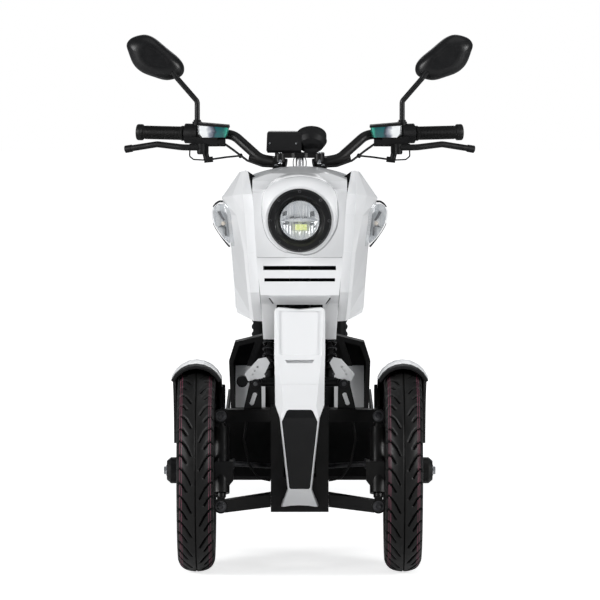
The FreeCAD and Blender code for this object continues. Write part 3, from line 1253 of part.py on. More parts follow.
def nodes():
    """Every node's name and the solids in it, laid out from the front axle."""
    fender_solid, liner_solid = fender(), fender_liner()
    knuckle_solid, rim_solid = knuckle(), front_rim()
    tyre_solid = tyre(WHEEL_X, 0.0, FRONT_TYRE_R, FRONT_TYRE_W, FRONT_TYRE_DEPTH, RIM_W / 2 - 5.0)
    shoulder_solid, control_solid = shoulder(), controls()
    holder, hugger = rear_fender()
    tie_tongue, tie_fork = tie_rod(False), tie_rod(True)
    return {
        "frame": [frame()],
        "suspension_arms": suspension_arms(),
        "uprights": both_sides(upright()),
        "shock_absorbers": shock_absorbers(),
        "tilt_lock": tilt_lock(),
        "horn": [horn()],
        "front_pillar": [front_pillar()],
        "pillar_insert": [pillar_insert()],
        "nose_shield": [nose_shield()],
        "shoulder_left": [shoulder_solid],
        "shoulder_right": [mirrored(shoulder_solid)],
        "headlight_bezel": [headlight_bezel()],
        "headlight_lens": [headlight_lens()],
        "front_signals": front_signals(),
        "leg_shield": [leg_shield()],
        "leg_panels": leg_panels(),
        "lower_fairing": [lower_fairing()],
        "floorboard": [floorboard()],
        "battery": [battery()],
        "seat_box": [seat_box()],
        "tail_lamp": [tail_lamp()],
        "rear_fender": [holder],
        "wheel_hugger": [hugger],
        "swingarm": [swingarm()],
        "grab_rail": [grab_rail()],
        "seat": [seat()],
        "steering_stem": [stem()],
        "handlebar": [handlebar()],
        "grips": grips(),
        "controls_left": [control_solid],
        "controls_right": [mirrored(control_solid)],
        "mirrors": mirrors(),
        "instrument": [instrument()],
        "knuckle_left": [knuckle_solid],
        "knuckle_right": [mirrored(knuckle_solid)],
        "fender_left": [fender_solid],
        "fender_right": [mirrored(fender_solid)],
        "fender_liner_left": [liner_solid],
        "fender_liner_right": [mirrored(liner_solid)],
        "tie_rod_left": [tie_tongue],
        "tie_rod_right": [mirrored(tie_fork)],
        "tyre_front_left": [tyre_solid],
        "tyre_front_right": [mirrored(tyre_solid)],
        "rim_front_left": [rim_solid],
        "rim_front_right": [mirrored(rim_solid)],
        "tyre_rear": [tyre(0.0, WHEELBASE, REAR_TYRE_R, REAR_TYRE_W, REAR_TYRE_DEPTH, REAR_RIM_W / 2 - 5.0)],
        "rim_rear": [rear_rim()],
    }


def export(name, solids, shift):
    shapes = []
    for shape in solids:
        for solid in shape.Solids:
            copy = solid.copy()
            copy.translate(V(0, shift, 0))
            shapes.append(copy)
    result = shapes[0] if len(shapes) == 1 else Part.makeCompound(shapes)
    result.exportStep(os.path.join("parts", name + ".step"))


LENGTH = FRONT_TYRE_R + WHEELBASE + REAR_OVERHANG
SHIFT_Y = FRONT_TYRE_R - LENGTH / 2


def main():
    os.makedirs("parts", exist_ok=True)
    for name, solids in nodes().items():
        export(name, solids, SHIFT_Y)


main()
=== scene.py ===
import json
import math

import bmesh
import bpy
import numpy as np
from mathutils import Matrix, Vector
from mathutils.bvhtree import BVHTree


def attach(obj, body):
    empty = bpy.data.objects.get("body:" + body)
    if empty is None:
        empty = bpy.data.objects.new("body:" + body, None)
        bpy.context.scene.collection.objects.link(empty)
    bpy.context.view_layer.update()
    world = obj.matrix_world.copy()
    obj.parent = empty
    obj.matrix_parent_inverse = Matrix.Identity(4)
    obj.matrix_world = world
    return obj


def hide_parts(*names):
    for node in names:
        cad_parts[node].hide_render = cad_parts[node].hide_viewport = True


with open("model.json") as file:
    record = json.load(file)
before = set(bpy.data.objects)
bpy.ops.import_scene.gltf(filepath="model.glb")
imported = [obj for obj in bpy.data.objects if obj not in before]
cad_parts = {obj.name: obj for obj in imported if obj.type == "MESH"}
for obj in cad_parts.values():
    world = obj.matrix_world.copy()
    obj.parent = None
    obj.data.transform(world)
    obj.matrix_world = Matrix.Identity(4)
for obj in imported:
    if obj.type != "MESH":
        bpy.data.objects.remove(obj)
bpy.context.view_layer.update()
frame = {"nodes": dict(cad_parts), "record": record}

# Places of the model, in millimetres
MM = 0.001
AXLE_SHIFT = 676.0
WHEELBASE = 1270.0
WHEEL_X = 228.0
AXLE_Z = 224.0
REAR_AXLE_Z = 229.0
KINGPIN_X = 174.0
RAKE = math.radians(18.0)
STEM_FOOT = (63.6, 246.0)
BAR_Y = STEM_FOOT[0] + (905.0 - STEM_FOOT[1]) * math.tan(RAKE)
LAMP_Z = 782.0

# View of the photograph, in metres and pixels
FRONT_AXLE = Vector((0.0, -AXLE_SHIFT * MM, AXLE_Z * MM))
VIEW_DISTANCE = 12.0
VIEW_ELEVATION = math.radians(7.0)
FOCAL_PIXELS = 5416.0
PICTURE_PIXELS = 600.0
AXLE_PIXEL = (299.7, 470.2)
SENSOR_MM = 36.0


def set_camera():
    """The camera stands so that the front axle falls on its pixel in the photograph."""
    data = bpy.data.cameras.new("camera")
    data.sensor_width = SENSOR_MM
    data.lens = SENSOR_MM * FOCAL_PIXELS / PICTURE_PIXELS
    data.clip_end = 60.0
    camera = bpy.data.objects.new("camera", data)
    bpy.context.scene.collection.objects.link(camera)
    back = Vector((0.0, -math.cos(VIEW_ELEVATION), math.sin(VIEW_ELEVATION)))
    camera.location = FRONT_AXLE + back * VIEW_DISTANCE
    below_centre = math.atan((AXLE_PIXEL[1] - PICTURE_PIXELS / 2) / FOCAL_PIXELS)
    beside_centre = math.atan((PICTURE_PIXELS / 2 - AXLE_PIXEL[0]) / FOCAL_PIXELS)
    camera.rotation_euler = (math.pi / 2 - VIEW_ELEVATION + below_centre, 0.0, -beside_centre)
    bpy.context.scene.camera = camera


# Node helpers


class Surface:
    """A material with its shader nodes at hand."""

    def __init__(self, name, colour, roughness, metallic=0.0):
        self.material = bpy.data.materials.new(name)
        self.material.use_nodes = True
        self.nodes = self.material.node_tree.nodes
        self.links = self.material.node_tree.links
        self.shader = self.nodes["Principled BSDF"]
        self.shader.inputs["Base Color"].default_value = (*colour, 1.0)
        self.shader.inputs["Roughness"].default_value = roughness
        self.shader.inputs["Metallic"].default_value = metallic
        self.coords = self.add("ShaderNodeTexCoord").outputs["Object"]
        self.height = None

    def add(self, kind, **settings):
        node = self.nodes.new(kind)
        for key, value in settings.items():
            setattr(node, key, value)
        return node

    def set(self, **values):
        for key, value in values.items():
            self.shader.inputs[key.replace("_", " ")].default_value = value

    def noise(self, scale, detail=3.0, stretch=(1.0, 1.0, 1.0)):
        mapping = self.add("ShaderNodeMapping")
        mapping.inputs["Scale"].default_value = stretch
        self.links.new(self.coords, mapping.inputs["Vector"])
        noise = self.add("ShaderNodeTexNoise")
        noise.inputs["Scale"].default_value = scale
        noise.inputs["Detail"].default_value = detail
        self.links.new(mapping.outputs["Vector"], noise.inputs["Vector"])
        return noise.outputs["Fac"]

    def cells(self, scale):
        cells = self.add("ShaderNodeTexVoronoi", feature="DISTANCE_TO_EDGE")
        cells.inputs["Scale"].default_value = scale
        self.links.new(self.coords, cells.inputs["Vector"])
        return cells.outputs["Distance"]

    def ramp(self, factor, low, high, start=0.0, end=1.0):
        ramp = self.add("ShaderNodeMapRange")
        for name, value in (("From Min", start), ("From Max", end), ("To Min", low), ("To Max", high)):
            ramp.inputs[name].default_value = value
        self.links.new(factor, ramp.inputs["Value"])
        return ramp.outputs["Result"]

    def compute(self, operation, *values):
        """A math node; its inputs are numbers or other nodes' outputs."""
        node = self.add("ShaderNodeMath", operation=operation)
        for socket, value in zip(node.inputs, values):
            if isinstance(value, (int, float)):
                socket.default_value = value
            else:
                self.links.new(value, socket)
        return node.outputs[0]

    def split_coords(self):
        parts = self.add("ShaderNodeSeparateXYZ")
        self.links.new(self.coords, parts.inputs[0])
        return parts.outputs

    def vary_colour(self, factor, first, second, start=0.35, end=0.65):
        mix = self.add("ShaderNodeMix", data_type="RGBA")
        mix.inputs[6].default_value = (*first, 1.0)
        mix.inputs[7].default_value = (*second, 1.0)
        self.links.new(self.ramp(factor, 0.0, 1.0, start, end), mix.inputs[0])
        self.links.new(mix.outputs[2], self.shader.inputs["Base Color"])

    def vary_roughness(self, factor, low, high):
        self.links.new(self.ramp(factor, low, high, 0.3, 0.7), self.shader.inputs["Roughness"])

    def bump(self, height, distance, strength=0.5):
        bump = self.add("ShaderNodeBump")
        bump.inputs["Distance"].default_value = distance
        bump.inputs["Strength"].default_value = strength
        self.links.new(height, bump.inputs["Height"])
        if self.height is not None:
            self.links.new(self.height, bump.inputs["Normal"])
        self.height = bump.outputs["Normal"]
        self.links.new(self.height, self.shader.inputs["Normal"])


def finish(name, colour, roughness, metallic=0.0, tints=None, rough=None, relief=None, **inputs):
    """A material whose colour, roughness and relief follow noise; each of them gives its noise first."""
    s = Surface(name, colour, roughness, metallic)
    s.set(**inputs)
    for vary, given in ((s.vary_colour, tints), (s.vary_roughness, rough), (s.bump, relief)):
        if given:
            vary(s.noise(*given[0]), *given[1:])
    return s.material


def black_gloss():
    return finish("black_gloss", (0.006, 0.006, 0.0065), 0.2, rough=((30.0,), 0.12, 0.24),
                  relief=((300.0, 2.0), 0.0002, 0.1),
                  Coat_Weight=0.2, Coat_Roughness=0.08, Specular_IOR_Level=0.35)


def satin_frame_paint():
    return finish("satin_frame_paint", (0.007, 0.007, 0.0075), 0.38,
                  tints=((14.0,), (0.005, 0.005, 0.0055), (0.011, 0.0105, 0.01)),
                  rough=((50.0,), 0.28, 0.5), relief=((420.0, 3.0), 0.0003, 0.3),
                  Coat_Weight=0.05, Coat_Roughness=0.3, Specular_IOR_Level=0.22)


def rubber():
    return finish("rubber", (0.006, 0.006, 0.006), 0.46,
                  tints=((12.0,), (0.0045, 0.0045, 0.0045), (0.009, 0.0088, 0.0085)),
                  rough=((80.0,), 0.4, 0.52), relief=((700.0, 3.0), 0.0004, 0.35), Specular_IOR_Level=0.24)


def black_grained():
    s = Surface("black_grained", (0.008, 0.008, 0.0085), 0.52)
    s.set(Specular_IOR_Level=0.2)
    s.vary_colour(s.noise(9.0), (0.004, 0.004, 0.0042), (0.009, 0.009, 0.0095))
    s.vary_roughness(s.noise(60.0), 0.42, 0.62)
    s.bump(s.cells(900.0), 0.0003, 0.5)
    s.bump(s.noise(1400.0, 2.0), 0.0002, 0.3)
    return s.material


def seat_leather():
    s = Surface("seat_leather", (0.022, 0.022, 0.023), 0.5)
    s.vary_colour(s.noise(10.0), (0.017, 0.017, 0.018), (0.03, 0.03, 0.031))
    s.vary_roughness(s.noise(120.0), 0.42, 0.6)
    s.bump(s.cells(520.0), 0.0006, 0.6)
    return s.material


def reservoir_painted_reflection():
    """A painted reflection along the bar: white at the outer end, then dark, teal and green towards the
    middle of the bar.
    """
    s = Surface("reservoir_painted_reflection", (0.1, 0.4, 0.36), 0.1)
    s.set(Coat_Weight=0.8, Coat_Roughness=0.03)
    from_middle = s.compute("ABSOLUTE", s.split_coords()[0])
    wave = s.ramp(s.noise(70.0), -0.004, 0.004, 0.3, 0.7)
    ramp = s.add("ShaderNodeValToRGB")
    s.links.new(s.ramp(s.compute("ADD", from_middle, wave), 0.0, 1.0, 0.158, 0.230), ramp.inputs[0])
    # Colours of the painted reflection, from the outer end inwards
    stops = ((0.0, (0.12, 0.5, 0.42)), (0.1, (0.02, 0.34, 0.24)), (0.2, (0.004, 0.1, 0.1)),
             (0.4, (0.0, 0.1, 0.11)), (0.5, (0.015, 0.03, 0.05)), (0.6, (0.24, 0.26, 0.32)),
             (0.72, (0.9, 0.92, 0.93)))
    for element, (position, colour) in zip(ramp.color_ramp.elements, (stops[0], stops[-1])):
        element.position = position
        element.color = (*colour, 1.0)
    for position, colour in stops[1:-1]:
        ramp.color_ramp.elements.new(position).color = (*colour, 1.0)
    s.links.new(ramp.outputs[0], s.shader.inputs["Base Color"])
    s.vary_roughness(s.noise(80.0), 0.08, 0.16)
    return s.material


# The fender's black rim: its front lip by its angle about the axle, its sides by their place in metres
LIP_ANGLE = math.radians(10.2)
RIM_BESIDE = 0.0475
RIM_BELOW = 0.43


def edged_white(side):
    """The front fender's white, black along its rim as the liner shows in the photograph."""
    s = Surface("edged_white", (0.86, 0.865, 0.875), 0.4)
    s.set(Coat_Weight=0.1, Coat_Roughness=0.3, Specular_IOR_Level=0.3)
    across, along, height = s.split_coords()
    ahead = s.compute("SUBTRACT", FRONT_AXLE.y, along)
    turned = s.compute("ARCTAN2", ahead, s.compute("SUBTRACT", height, FRONT_AXLE.z))
    lip = s.compute("GREATER_THAN", turned, LIP_ANGLE)
    beside = s.compute("ABSOLUTE", s.compute("SUBTRACT", across, side * WHEEL_X * MM))
    outside = s.compute("GREATER_THAN", beside, RIM_BESIDE)
    rim = s.compute("MULTIPLY", outside, s.compute("LESS_THAN", height, RIM_BELOW))
    border = s.compute("MAXIMUM", lip, rim)
    s.vary_colour(border, (0.86, 0.865, 0.875), (0.007, 0.007, 0.0075))
    s.vary_roughness(border, 0.32, 0.62)
    return s.material


MATERIALS = {
    "frame_paint": satin_frame_paint(),
    "bar_paint": satin_frame_paint(),
    "rim_alloy": satin_frame_paint(),
    "spring_steel": black_gloss(),
    "black_panel": black_gloss(),
    "black_plastic": black_grained(),
    "rubber_mat": rubber(),
    "grip_rubber": rubber(),
    "tyre_rubber": rubber(),
    "seat_cover": seat_leather(),
    "white_panel": finish(
        "white_plastic", (0.86, 0.865, 0.875), 0.3, Coat_Weight=0.5, Coat_Roughness=0.1,
        tints=((2.0, 1.0), (0.855, 0.86, 0.87), (0.875, 0.88, 0.888), 0.2, 0.8),
        rough=((18.0, 1.0), 0.28, 0.32), relief=((700.0, 2.0), 0.0001, 0.08)),
    "bright_steel": finish(
        "bright_steel", (0.55, 0.56, 0.58), 0.28, 1.0, rough=((90.0,), 0.2, 0.4),
        relief=((500.0, 2.0, (1.0, 1.0, 0.08)), 0.0002, 0.25)),
    "reflector": finish("mirror_chrome", (0.8, 0.81, 0.83), 0.08, 1.0, rough=((40.0,), 0.05, 0.14)),
    "clear_lens": finish(
        "clear_plastic", (0.6, 0.63, 0.66), 0.05, Alpha=0.15, Coat_Weight=1.0, Coat_Roughness=0.02,
        tints=((30.0,), (0.52, 0.55, 0.58), (0.66, 0.68, 0.7)), relief=((60.0,), 0.0003, 0.1)),
    "red_lens": finish(
        "red_lens", (0.5, 0.012, 0.02), 0.12, Coat_Weight=0.8,
        tints=((30.0,), (0.42, 0.01, 0.015), (0.58, 0.02, 0.03))),
}
BLACK_SATIN = finish(
    "black_satin", (0.007, 0.007, 0.0075), 0.36,
    tints=((7.0,), (0.005, 0.005, 0.0055), (0.01, 0.01, 0.0105)),
    rough=((55.0,), 0.28, 0.42), relief=((900.0, 2.0), 0.0001, 0.08),
    Coat_Weight=0.06, Coat_Roughness=0.28, Specular_IOR_Level=0.26)
DARK_STEEL = finish(
    "dark_steel", (0.09, 0.09, 0.095), 0.36, 0.9,
    tints=((60.0,), (0.06, 0.06, 0.064), (0.14, 0.14, 0.145)),
    rough=((120.0,), 0.28, 0.48), relief=((800.0, 2.0), 0.0002, 0.2))
STRIPE_PAINT = finish(
    "stripe_paint", (0.1, 0.02, 0.04), 0.6, tints=((40.0,), (0.07, 0.013, 0.028), (0.14, 0.03, 0.055)),
    rough=((90.0,), 0.5, 0.7))
LED_YELLOW = finish(
    "led_yellow", (0.75, 0.8, 0.25), 0.25, tints=((160.0,), (0.6, 0.7, 0.15), (0.9, 0.92, 0.5)),
    Emission_Color=(0.8, 0.85, 0.3, 1.0), Emission_Strength=0.35)
AMBER_GLASS = finish(
    "amber_glass", (0.74, 0.66, 0.56), 0.12, Coat_Weight=0.6,
    tints=((50.0,), (0.68, 0.6, 0.5), (0.8, 0.74, 0.66)))
PALE_METAL = finish(
    "pale_metal", (0.78, 0.785, 0.79), 0.38, 0.25,
    tints=((16.0,), (0.74, 0.745, 0.75), (0.83, 0.835, 0.84)),
    rough=((70.0,), 0.32, 0.46), relief=((600.0, 2.0), 0.0002, 0.2))
THREAD = finish(
    "thread", (0.09, 0.09, 0.092), 0.7, tints=((300.0,), (0.06, 0.06, 0.062), (0.13, 0.13, 0.132)),
    relief=((2400.0, 2.0), 0.0002, 0.5))
RESERVOIR_PAINTED_REFLECTION = reservoir_painted_reflection()
LAMP_SILVER = finish(
    "lamp_silver", (0.82, 0.84, 0.86), 0.18, 0.35, Coat_Weight=0.5, Coat_Roughness=0.05,
    tints=((26.0, 2.0, (9.0, 1.0, 0.6)), (0.74, 0.77, 0.8), (0.95, 0.96, 0.97), 0.4, 0.6),
    rough=((90.0,), 0.12, 0.26))
# Darker rubber for the grooves' floors: painted shade in the grooves
GROOVE_PAINTED_SHADE = finish(
    "groove_painted_shade", (0.002, 0.002, 0.002), 0.9, Specular_IOR_Level=0.1,
    tints=((30.0,), (0.0015, 0.0015, 0.0015), (0.003, 0.003, 0.003)), relief=((700.0,), 0.0003, 0.3))
GREY_STEEL = finish(
    "grey_steel", (0.42, 0.42, 0.43), 0.38, 0.55,
    tints=((20.0, 2.0, (1.0, 1.0, 0.2)), (0.37, 0.37, 0.38), (0.48, 0.48, 0.49)),
    rough=((90.0,), 0.3, 0.46), relief=((500.0, 2.0, (1.0, 1.0, 0.08)), 0.0002, 0.2))
OTHER_FINISH = {
    "tie_rod_left": DARK_STEEL,
    "tie_rod_right": DARK_STEEL,
    "tilt_lock": PALE_METAL,
    "headlight_bezel": BLACK_SATIN,
    "pillar_insert": BLACK_SATIN,
    "mirrors": BLACK_SATIN,
    "steering_stem": GREY_STEEL,
    "fender_left": edged_white(1),
    "fender_right": edged_white(-1),
}


def dress_frame():
    """Every CAD node takes its own listed finish, otherwise its record slot's finished material."""
    slots = {row["node"]: row["material_slot"] for row in frame["record"]["subparts"]}
    for name, node in frame["nodes"].items():
        node.data.materials.clear()
        node.data.materials.append(OTHER_FINISH.get(name, MATERIALS[slots[name]]))


# Mesh helpers


def at(x, y, z):
    """A place in metres, from millimetres measured as in the CAD source, with y from the front axle."""
    return Vector((x, y - AXLE_SHIFT, z)) * MM


SQUARE = ((-1, -1), (1, -1), (1, 1), (-1, 1))


def around(count, first=0.0):
    """Even angles of a full turn."""
    return [first + 2 * math.pi * k / count for k in range(count)]


def smooth_line(points, count):
    """Even points along a smooth line through the given ones."""
    pts = [Vector(p) for p in points]
    ends = [pts[0] * 2 - pts[1]] + pts + [pts[-1] * 2 - pts[-2]]
    fine = []
    for a, b, c, d in zip(ends, ends[1:], ends[2:], ends[3:]):
        for k in range(16):
            t = k / 16
            fine.append(0.5 * ((2 * b) + (c - a) * t + (2 * a - 5 * b + 4 * c - d) * t**2
                               + (3 * b - a - 3 * c + d) * t**3))
    fine.append(pts[-1])
    reach = [0.0]
    for a, b in zip(fine, fine[1:]):
        reach.append(reach[-1] + (b - a).length)
    line, k = [], 0
    for i in range(count):
        want = reach[-1] * i / (count - 1)
        while k < len(fine) - 2 and reach[k + 1] < want:
            k += 1
        span = max(reach[k + 1] - reach[k], 1e-9)
        line.append(fine[k].lerp(fine[k + 1], min(1.0, (want - reach[k]) / span)))
    return line


class Shape:
    """Points and faces gathered for one piece."""

    def __init__(self):
        self.points = []
        self.faces = []
        self.marks = {}

    def add(self, points, faces):
        first = len(self.points)
        self.points += [tuple(p) for p in points]
        self.faces += [tuple(first + i for i in face) for face in faces]
        return self

    def rings(self, rings, close_round=True, close_ends="cap"):
        """A skin between rings of points; its ends are capped, joined to each other or left open."""
        count = len(rings[0])
        points = [p for ring in rings for p in ring]
        faces = []
        rows = len(rings) if close_ends == "join" else len(rings) - 1
        for r in range(rows):
            low, high = r * count, ((r + 1) % len(rings)) * count
            for i in range(count if close_round else count - 1):
                j = (i + 1) % count
                faces.append((low + i, low + j, high + j, high + i))
        if close_ends == "cap":
            faces.append(tuple(range(count - 1, -1, -1)))
            faces.append(tuple(range(len(points) - count, len(points))))
        return self.add(points, faces)

    def lathe(self, profile, centre, axis, steps=48, close_ends="cap"):
        """Turns (radius, along) points about an axis through centre; sizes in millimetres."""
        turn = Vector(axis).to_track_quat("Z", "Y").to_matrix()
        rings = []
        for radius, along in profile:
            ring = []
            for a in around(steps):
                local = Vector((radius * math.cos(a), radius * math.sin(a), along))
                ring.append(Vector(centre) + turn @ local * MM)
            rings.append(ring)
        return self.rings(rings, close_ends=close_ends)

    def tube(self, line, radius, sides=12):
        """A round tube along points; radius in millimetres, one number or one for each point."""
        line = [Vector(p) for p in line]
        radii = radius if hasattr(radius, "__len__") else [radius] * len(line)
        tangent = (line[1] - line[0]).normalized()
        across = tangent.orthogonal().normalized()
        rings = []
        for i, point in enumerate(line):
            ahead = (line[min(i + 1, len(line) - 1)] - line[max(i - 1, 0)]).normalized()
            across = (across - ahead * across.dot(ahead)).normalized()
            other = ahead.cross(across)
            rings.append([point + (across * math.cos(a) + other * math.sin(a)) * radii[i] * MM
                          for a in around(sides)])
        return self.rings(rings)

    def bolt(self, place, axis, across, high):
        """A hexagon head on its washer, with a dished top."""
        self.lathe([(across * 0.72, 0.0), (across * 0.72, high * 0.22)], place, axis, 24)
        head = [(across * 0.56, high * 0.22), (across * 0.56, high * 0.86), (across * 0.46, high),
                (across * 0.3, high), (across * 0.24, high * 0.82)]
        return self.lathe(head, place, axis, 6)

    def socket(self, place, axis, radius, high):
        """A round head with a round socket."""
        head = [(radius, 0.0), (radius, high * 0.8), (radius * 0.86, high), (radius * 0.55, high),
                (radius * 0.5, high * 0.35)]
        return self.lathe(head, place, axis, 24)

    def sheet(self, rows, apart):
        """A thin open skin: rows of points, and the same rows further back."""
        for back in (0.0, apart):
            moved = [[p + Vector((0.0, back * MM, 0.0)) for p in row] for row in rows]
            self.rings(moved, close_round=False, close_ends="open")

    def plate(self, outline, *fronts):
        """A plate with one outline of (x, z) places, from one y to the next."""
        return self.rings([[at(x, y, z) for x, z in outline] for y in fronts])

    def both_sides(self):
        """Adds the same points and faces mirrored to the other side."""
        count = len(self.points)
        self.points += [(-x, y, z) for x, y, z in self.points]
        self.faces += [tuple(count + i for i in reversed(face)) for face in self.faces]
        return self


def piece(name, shape, body, slot, stands_for=(), crease=35.0, finishes=None):
    """One visible piece, riding on its CAD body, in its slot's finish or the given ones, picked by mark."""
    mesh = bpy.data.meshes.new(name)
    mesh.from_pydata(shape.points, [], shape.faces)
    form = bmesh.new()
    form.from_mesh(mesh)
    bmesh.ops.recalc_face_normals(form, faces=form.faces)
    form.to_mesh(mesh)
    form.free()
    obj = bpy.data.objects.new(name, mesh)
    bpy.context.scene.collection.objects.link(obj)
    for material in finishes or [MATERIALS[slot]]:
        mesh.materials.append(material)
    for index, mark in shape.marks.items():
        mesh.polygons[index].material_index = mark
    mesh.shade_smooth()
    mesh.set_sharp_from_angle(angle=math.radians(crease))
    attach(obj, body)
    if stands_for:
        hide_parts(*stands_for)
    return obj


def bake_modifiers(obj):
    """The object's mesh becomes what its modifiers make of it."""
    graph = bpy.context.evaluated_depsgraph_get()
    made = bpy.data.meshes.new_from_object(obj.evaluated_get(graph))
    obj.modifiers.clear()
    obj.data = made


# Tyres

# Stripes across the tread from its middle, and grooves as places across and along it, on the front tyre
TREAD_HALF = 41.0
STRIPES = ((28.9, 30.3), (32.9, 34.2))
LONG_GROOVE = ((39.5, 5.0), (34.0, 0.0), (29.0, 3.5), (20.0, 15.0), (9.5, 37.0))
SHORT_GROOVE = ((39.0, 40.0), (34.5, 33.0), (28.0, 38.0), (19.0, 53.0))
MIDDLE_GROOVE = 0.9
GROOVE_PITCHES = 22
GROOVE_DEEP = 4.5
TREAD_STEPS = 720
WALL_STEPS = 15
WALL_RIBS = (7, 11)


def groove_depth(u, v, pitch, wide):
    """How deep the tread is cut at u along it and v across it."""
    deepest = np.zeros_like(u)
    for line in (LONG_GROOVE, SHORT_GROOVE):
        for (v0, u0), (v1, u1) in zip(line, line[1:]):
            v0, v1 = v0 * wide, v1 * wide
            for turn in (-1, 0, 1):
                du, dv = u1 - u0, v1 - v0
                here_u, here_v = u - (u0 + turn * pitch), v - v0
                t = np.clip((here_u * du + here_v * dv) / (du * du + dv * dv), 0.0, 1.0)
                apart = np.hypot(here_u - t * du, here_v - t * dv)
                cut = np.clip(1.6 - apart / 1.7, 0.0, 1.0)
                deepest = np.maximum(deepest, cut * cut * (3 - 2 * cut))
    return np.maximum(deepest, 0.55 * (v < MIDDLE_GROOVE)) * GROOVE_DEEP


def tyre(name, body, x, y, radius, width, depth, seat_half):
    """A road tyre: bead, ribbed sidewall and a crown with curved grooves, their floors darkened as painted
    shade, and stripes.
    """
    half, seat = width / 2, radius - depth
    wide = half / TREAD_HALF
    side = [(seat_half, seat), (seat_half + 1.0, seat + depth * 0.14), (half, seat + depth * 0.46),
            (half * 0.94, seat + depth * 0.74), (half * 0.62, seat + depth * 0.93)]
    line = side + [(0.0, radius)] + [(-dx, r) for dx, r in reversed(side)]
    fine = np.array([[p[0], p[1]] for p in smooth_line([(dx, r, 0.0) for dx, r in line], 400)])
    fine[:, 0] = np.clip(fine[:, 0], -half, half)
    fine[:, 1] = np.minimum(fine[:, 1], radius)
    crown = fine[(np.abs(fine[:, 0]) <= half * 0.94) & (fine[:, 1] > seat + depth * 0.7)]
    spread = list(np.arange(-half * 0.92, half * 0.921, 2.0))
    spread += [s * edge * wide for s in (-1, 1) for stripe in STRIPES for edge in stripe]
    offsets = np.array(sorted(spread))
    top = np.interp(offsets, crown[::-1, 0], crown[::-1, 1])
    wall = fine[: np.argmax(fine[:, 1] > seat + depth * 0.72)]
    picked = wall[np.linspace(0, len(wall) - 1, WALL_STEPS).astype(int)]
    rib = np.array([0.7 if k in WALL_RIBS else 0.0 for k in range(WALL_STEPS)])
    left = np.column_stack([-picked[:, 0] - rib * (np.abs(picked[:, 0]) < half - 0.8), picked[:, 1]])
    right = left[::-1] * (-1, 1)
    section = np.vstack([left, np.column_stack([offsets, top]), right])
    angles = np.arange(TREAD_STEPS) * 2 * np.pi / TREAD_STEPS
    pitch = 2 * np.pi * radius / GROOVE_PITCHES
    v, along = np.meshgrid(section[:, 0], angles * radius)
    shifted = np.where(v < 0, along, along + pitch / 2) % pitch
    cut = groove_depth(shifted, np.abs(v), pitch, wide)
    on_crown = (section[:, 1] > seat + depth * 0.6).astype(float)
    r = section[:, 1] - cut * on_crown
    across = np.broadcast_to(section[:, 0], r.shape)
    turn = np.broadcast_to(angles[:, None], r.shape)
    points = np.stack([x + across, y - AXLE_SHIFT - np.sin(turn) * r, radius + np.cos(turn) * r], axis=-1)
    rings = [[tuple(p) for p in row] for row in (points * MM)]
    shape = Shape().rings(rings, close_ends="join")
    columns = section.shape[0]
    for face in range(TREAD_STEPS * columns):
        k = face % columns
        if not len(left) <= k < columns - len(left):
            continue
        middle = abs(section[k, 0] + section[(k + 1) % columns, 0]) / 2
        if any(a * wide < middle < b * wide for a, b in STRIPES):
            shape.marks[face] = 1
        # Faces deep in a groove take the darker rubber: painted shade
        if cut[face // columns, k] > GROOVE_DEEP * 0.5:
            shape.marks[face] = 2
    finishes = [MATERIALS["tyre_rubber"], STRIPE_PAINT, GROOVE_PAINTED_SHADE]
    piece(name, shape, body, "tyre_rubber", (name.replace("road_", ""),), 60.0, finishes=finishes)


# Shock absorbers

# Low eye, high eye, outer radius of the coil and its turns
SHOCKS = (
    ((66.0, 46.0, 416.0), (66.0, 140.0, 548.0), 17.0, 6),
    ((98.0, 1232.0, 282.0), (98.0, 1146.0, 548.0), 19.0, 9),
)


def shock_absorbers():
    """Body with its eyes, rod and coil spring, in the place of the plain solids."""
    bodies, springs, rods = Shape(), Shape(), Shape()
    for low, high, coil, turns in SHOCKS:
        a, b = at(*low), at(*high)
        axis, length = (b - a).normalized(), (b - a).length / MM
        start, end = length * 0.2, length * 0.86
        tube, neck = coil * 0.52, coil * 0.28
        bodies.lathe([(coil * 0.5, 6), (coil * 0.5, start - 6), (coil - 2, start - 6), (coil, start - 4),
                      (coil, start), (coil - 4, start + 2), (tube, start + 2), (tube, length * 0.56),
                      (tube - 2, length * 0.58), (tube - 2, length * 0.6), (neck, length * 0.6)], a, axis)
        bodies.lathe([(neck, end - 3), (coil - 4, end - 2), (coil, end), (coil, end + 4),
                      (coil - 2, end + 5), (coil * 0.4, end + 6), (coil * 0.4, length - 6)], a, axis)
        for place in (a, b):
            out = Vector((0.009, 0.0, 0.0))
            bodies.lathe([(5.4, 0), (11, 0), (11, 18), (5.4, 18)], place - out, (1, 0, 0), 32, "join")
        rods.lathe([(neck, length * 0.59), (neck, end)], a, axis)
        side = axis.orthogonal().normalized()
        other = axis.cross(side)
        coil_line = []
        steps = turns * 20
        for k in range(steps + 1):
            angle = 2 * math.pi * turns * k / steps
            up = start + 4 + (end - start - 8) * k / steps
            out = (side * math.cos(angle) + other * math.sin(angle)) * (coil - 3.2)
            coil_line.append(a + (axis * up + out) * MM)
        springs.tube(coil_line, 3.1, 10)
    piece("shock_bodies", bodies.both_sides(), "chassis", "frame_paint", ("shock_absorbers",))
    piece("shock_springs", springs.both_sides(), "chassis", "spring_steel")
    piece("shock_rods", rods.both_sides(), "chassis", "bright_steel")


# Lamps

# Middle, width and height of the dark marks in the lamp
LAMP_VANES = (
    (-33, 15, 10, 9), (-17, 6.5, 8, 3.4), (-6, 6, 13, 1.8), (11, 6, 12, 1.8), (27, 14, 8, 12),
    (-32, -7, 7, 4.2), (-25, -6.4, 4, 3.6), (-8, -6, 8, 2.6), (9, -6, 8, 2.6), (25, -8, 8, 3.4),
    (33, -14, 5, 3.6),
)
BOWL_RADIUS = 43.0


def lamp_point(x, z, y):
    """A place measured from the headlamp's axis."""
    return at(x, y, LAMP_Z + z)


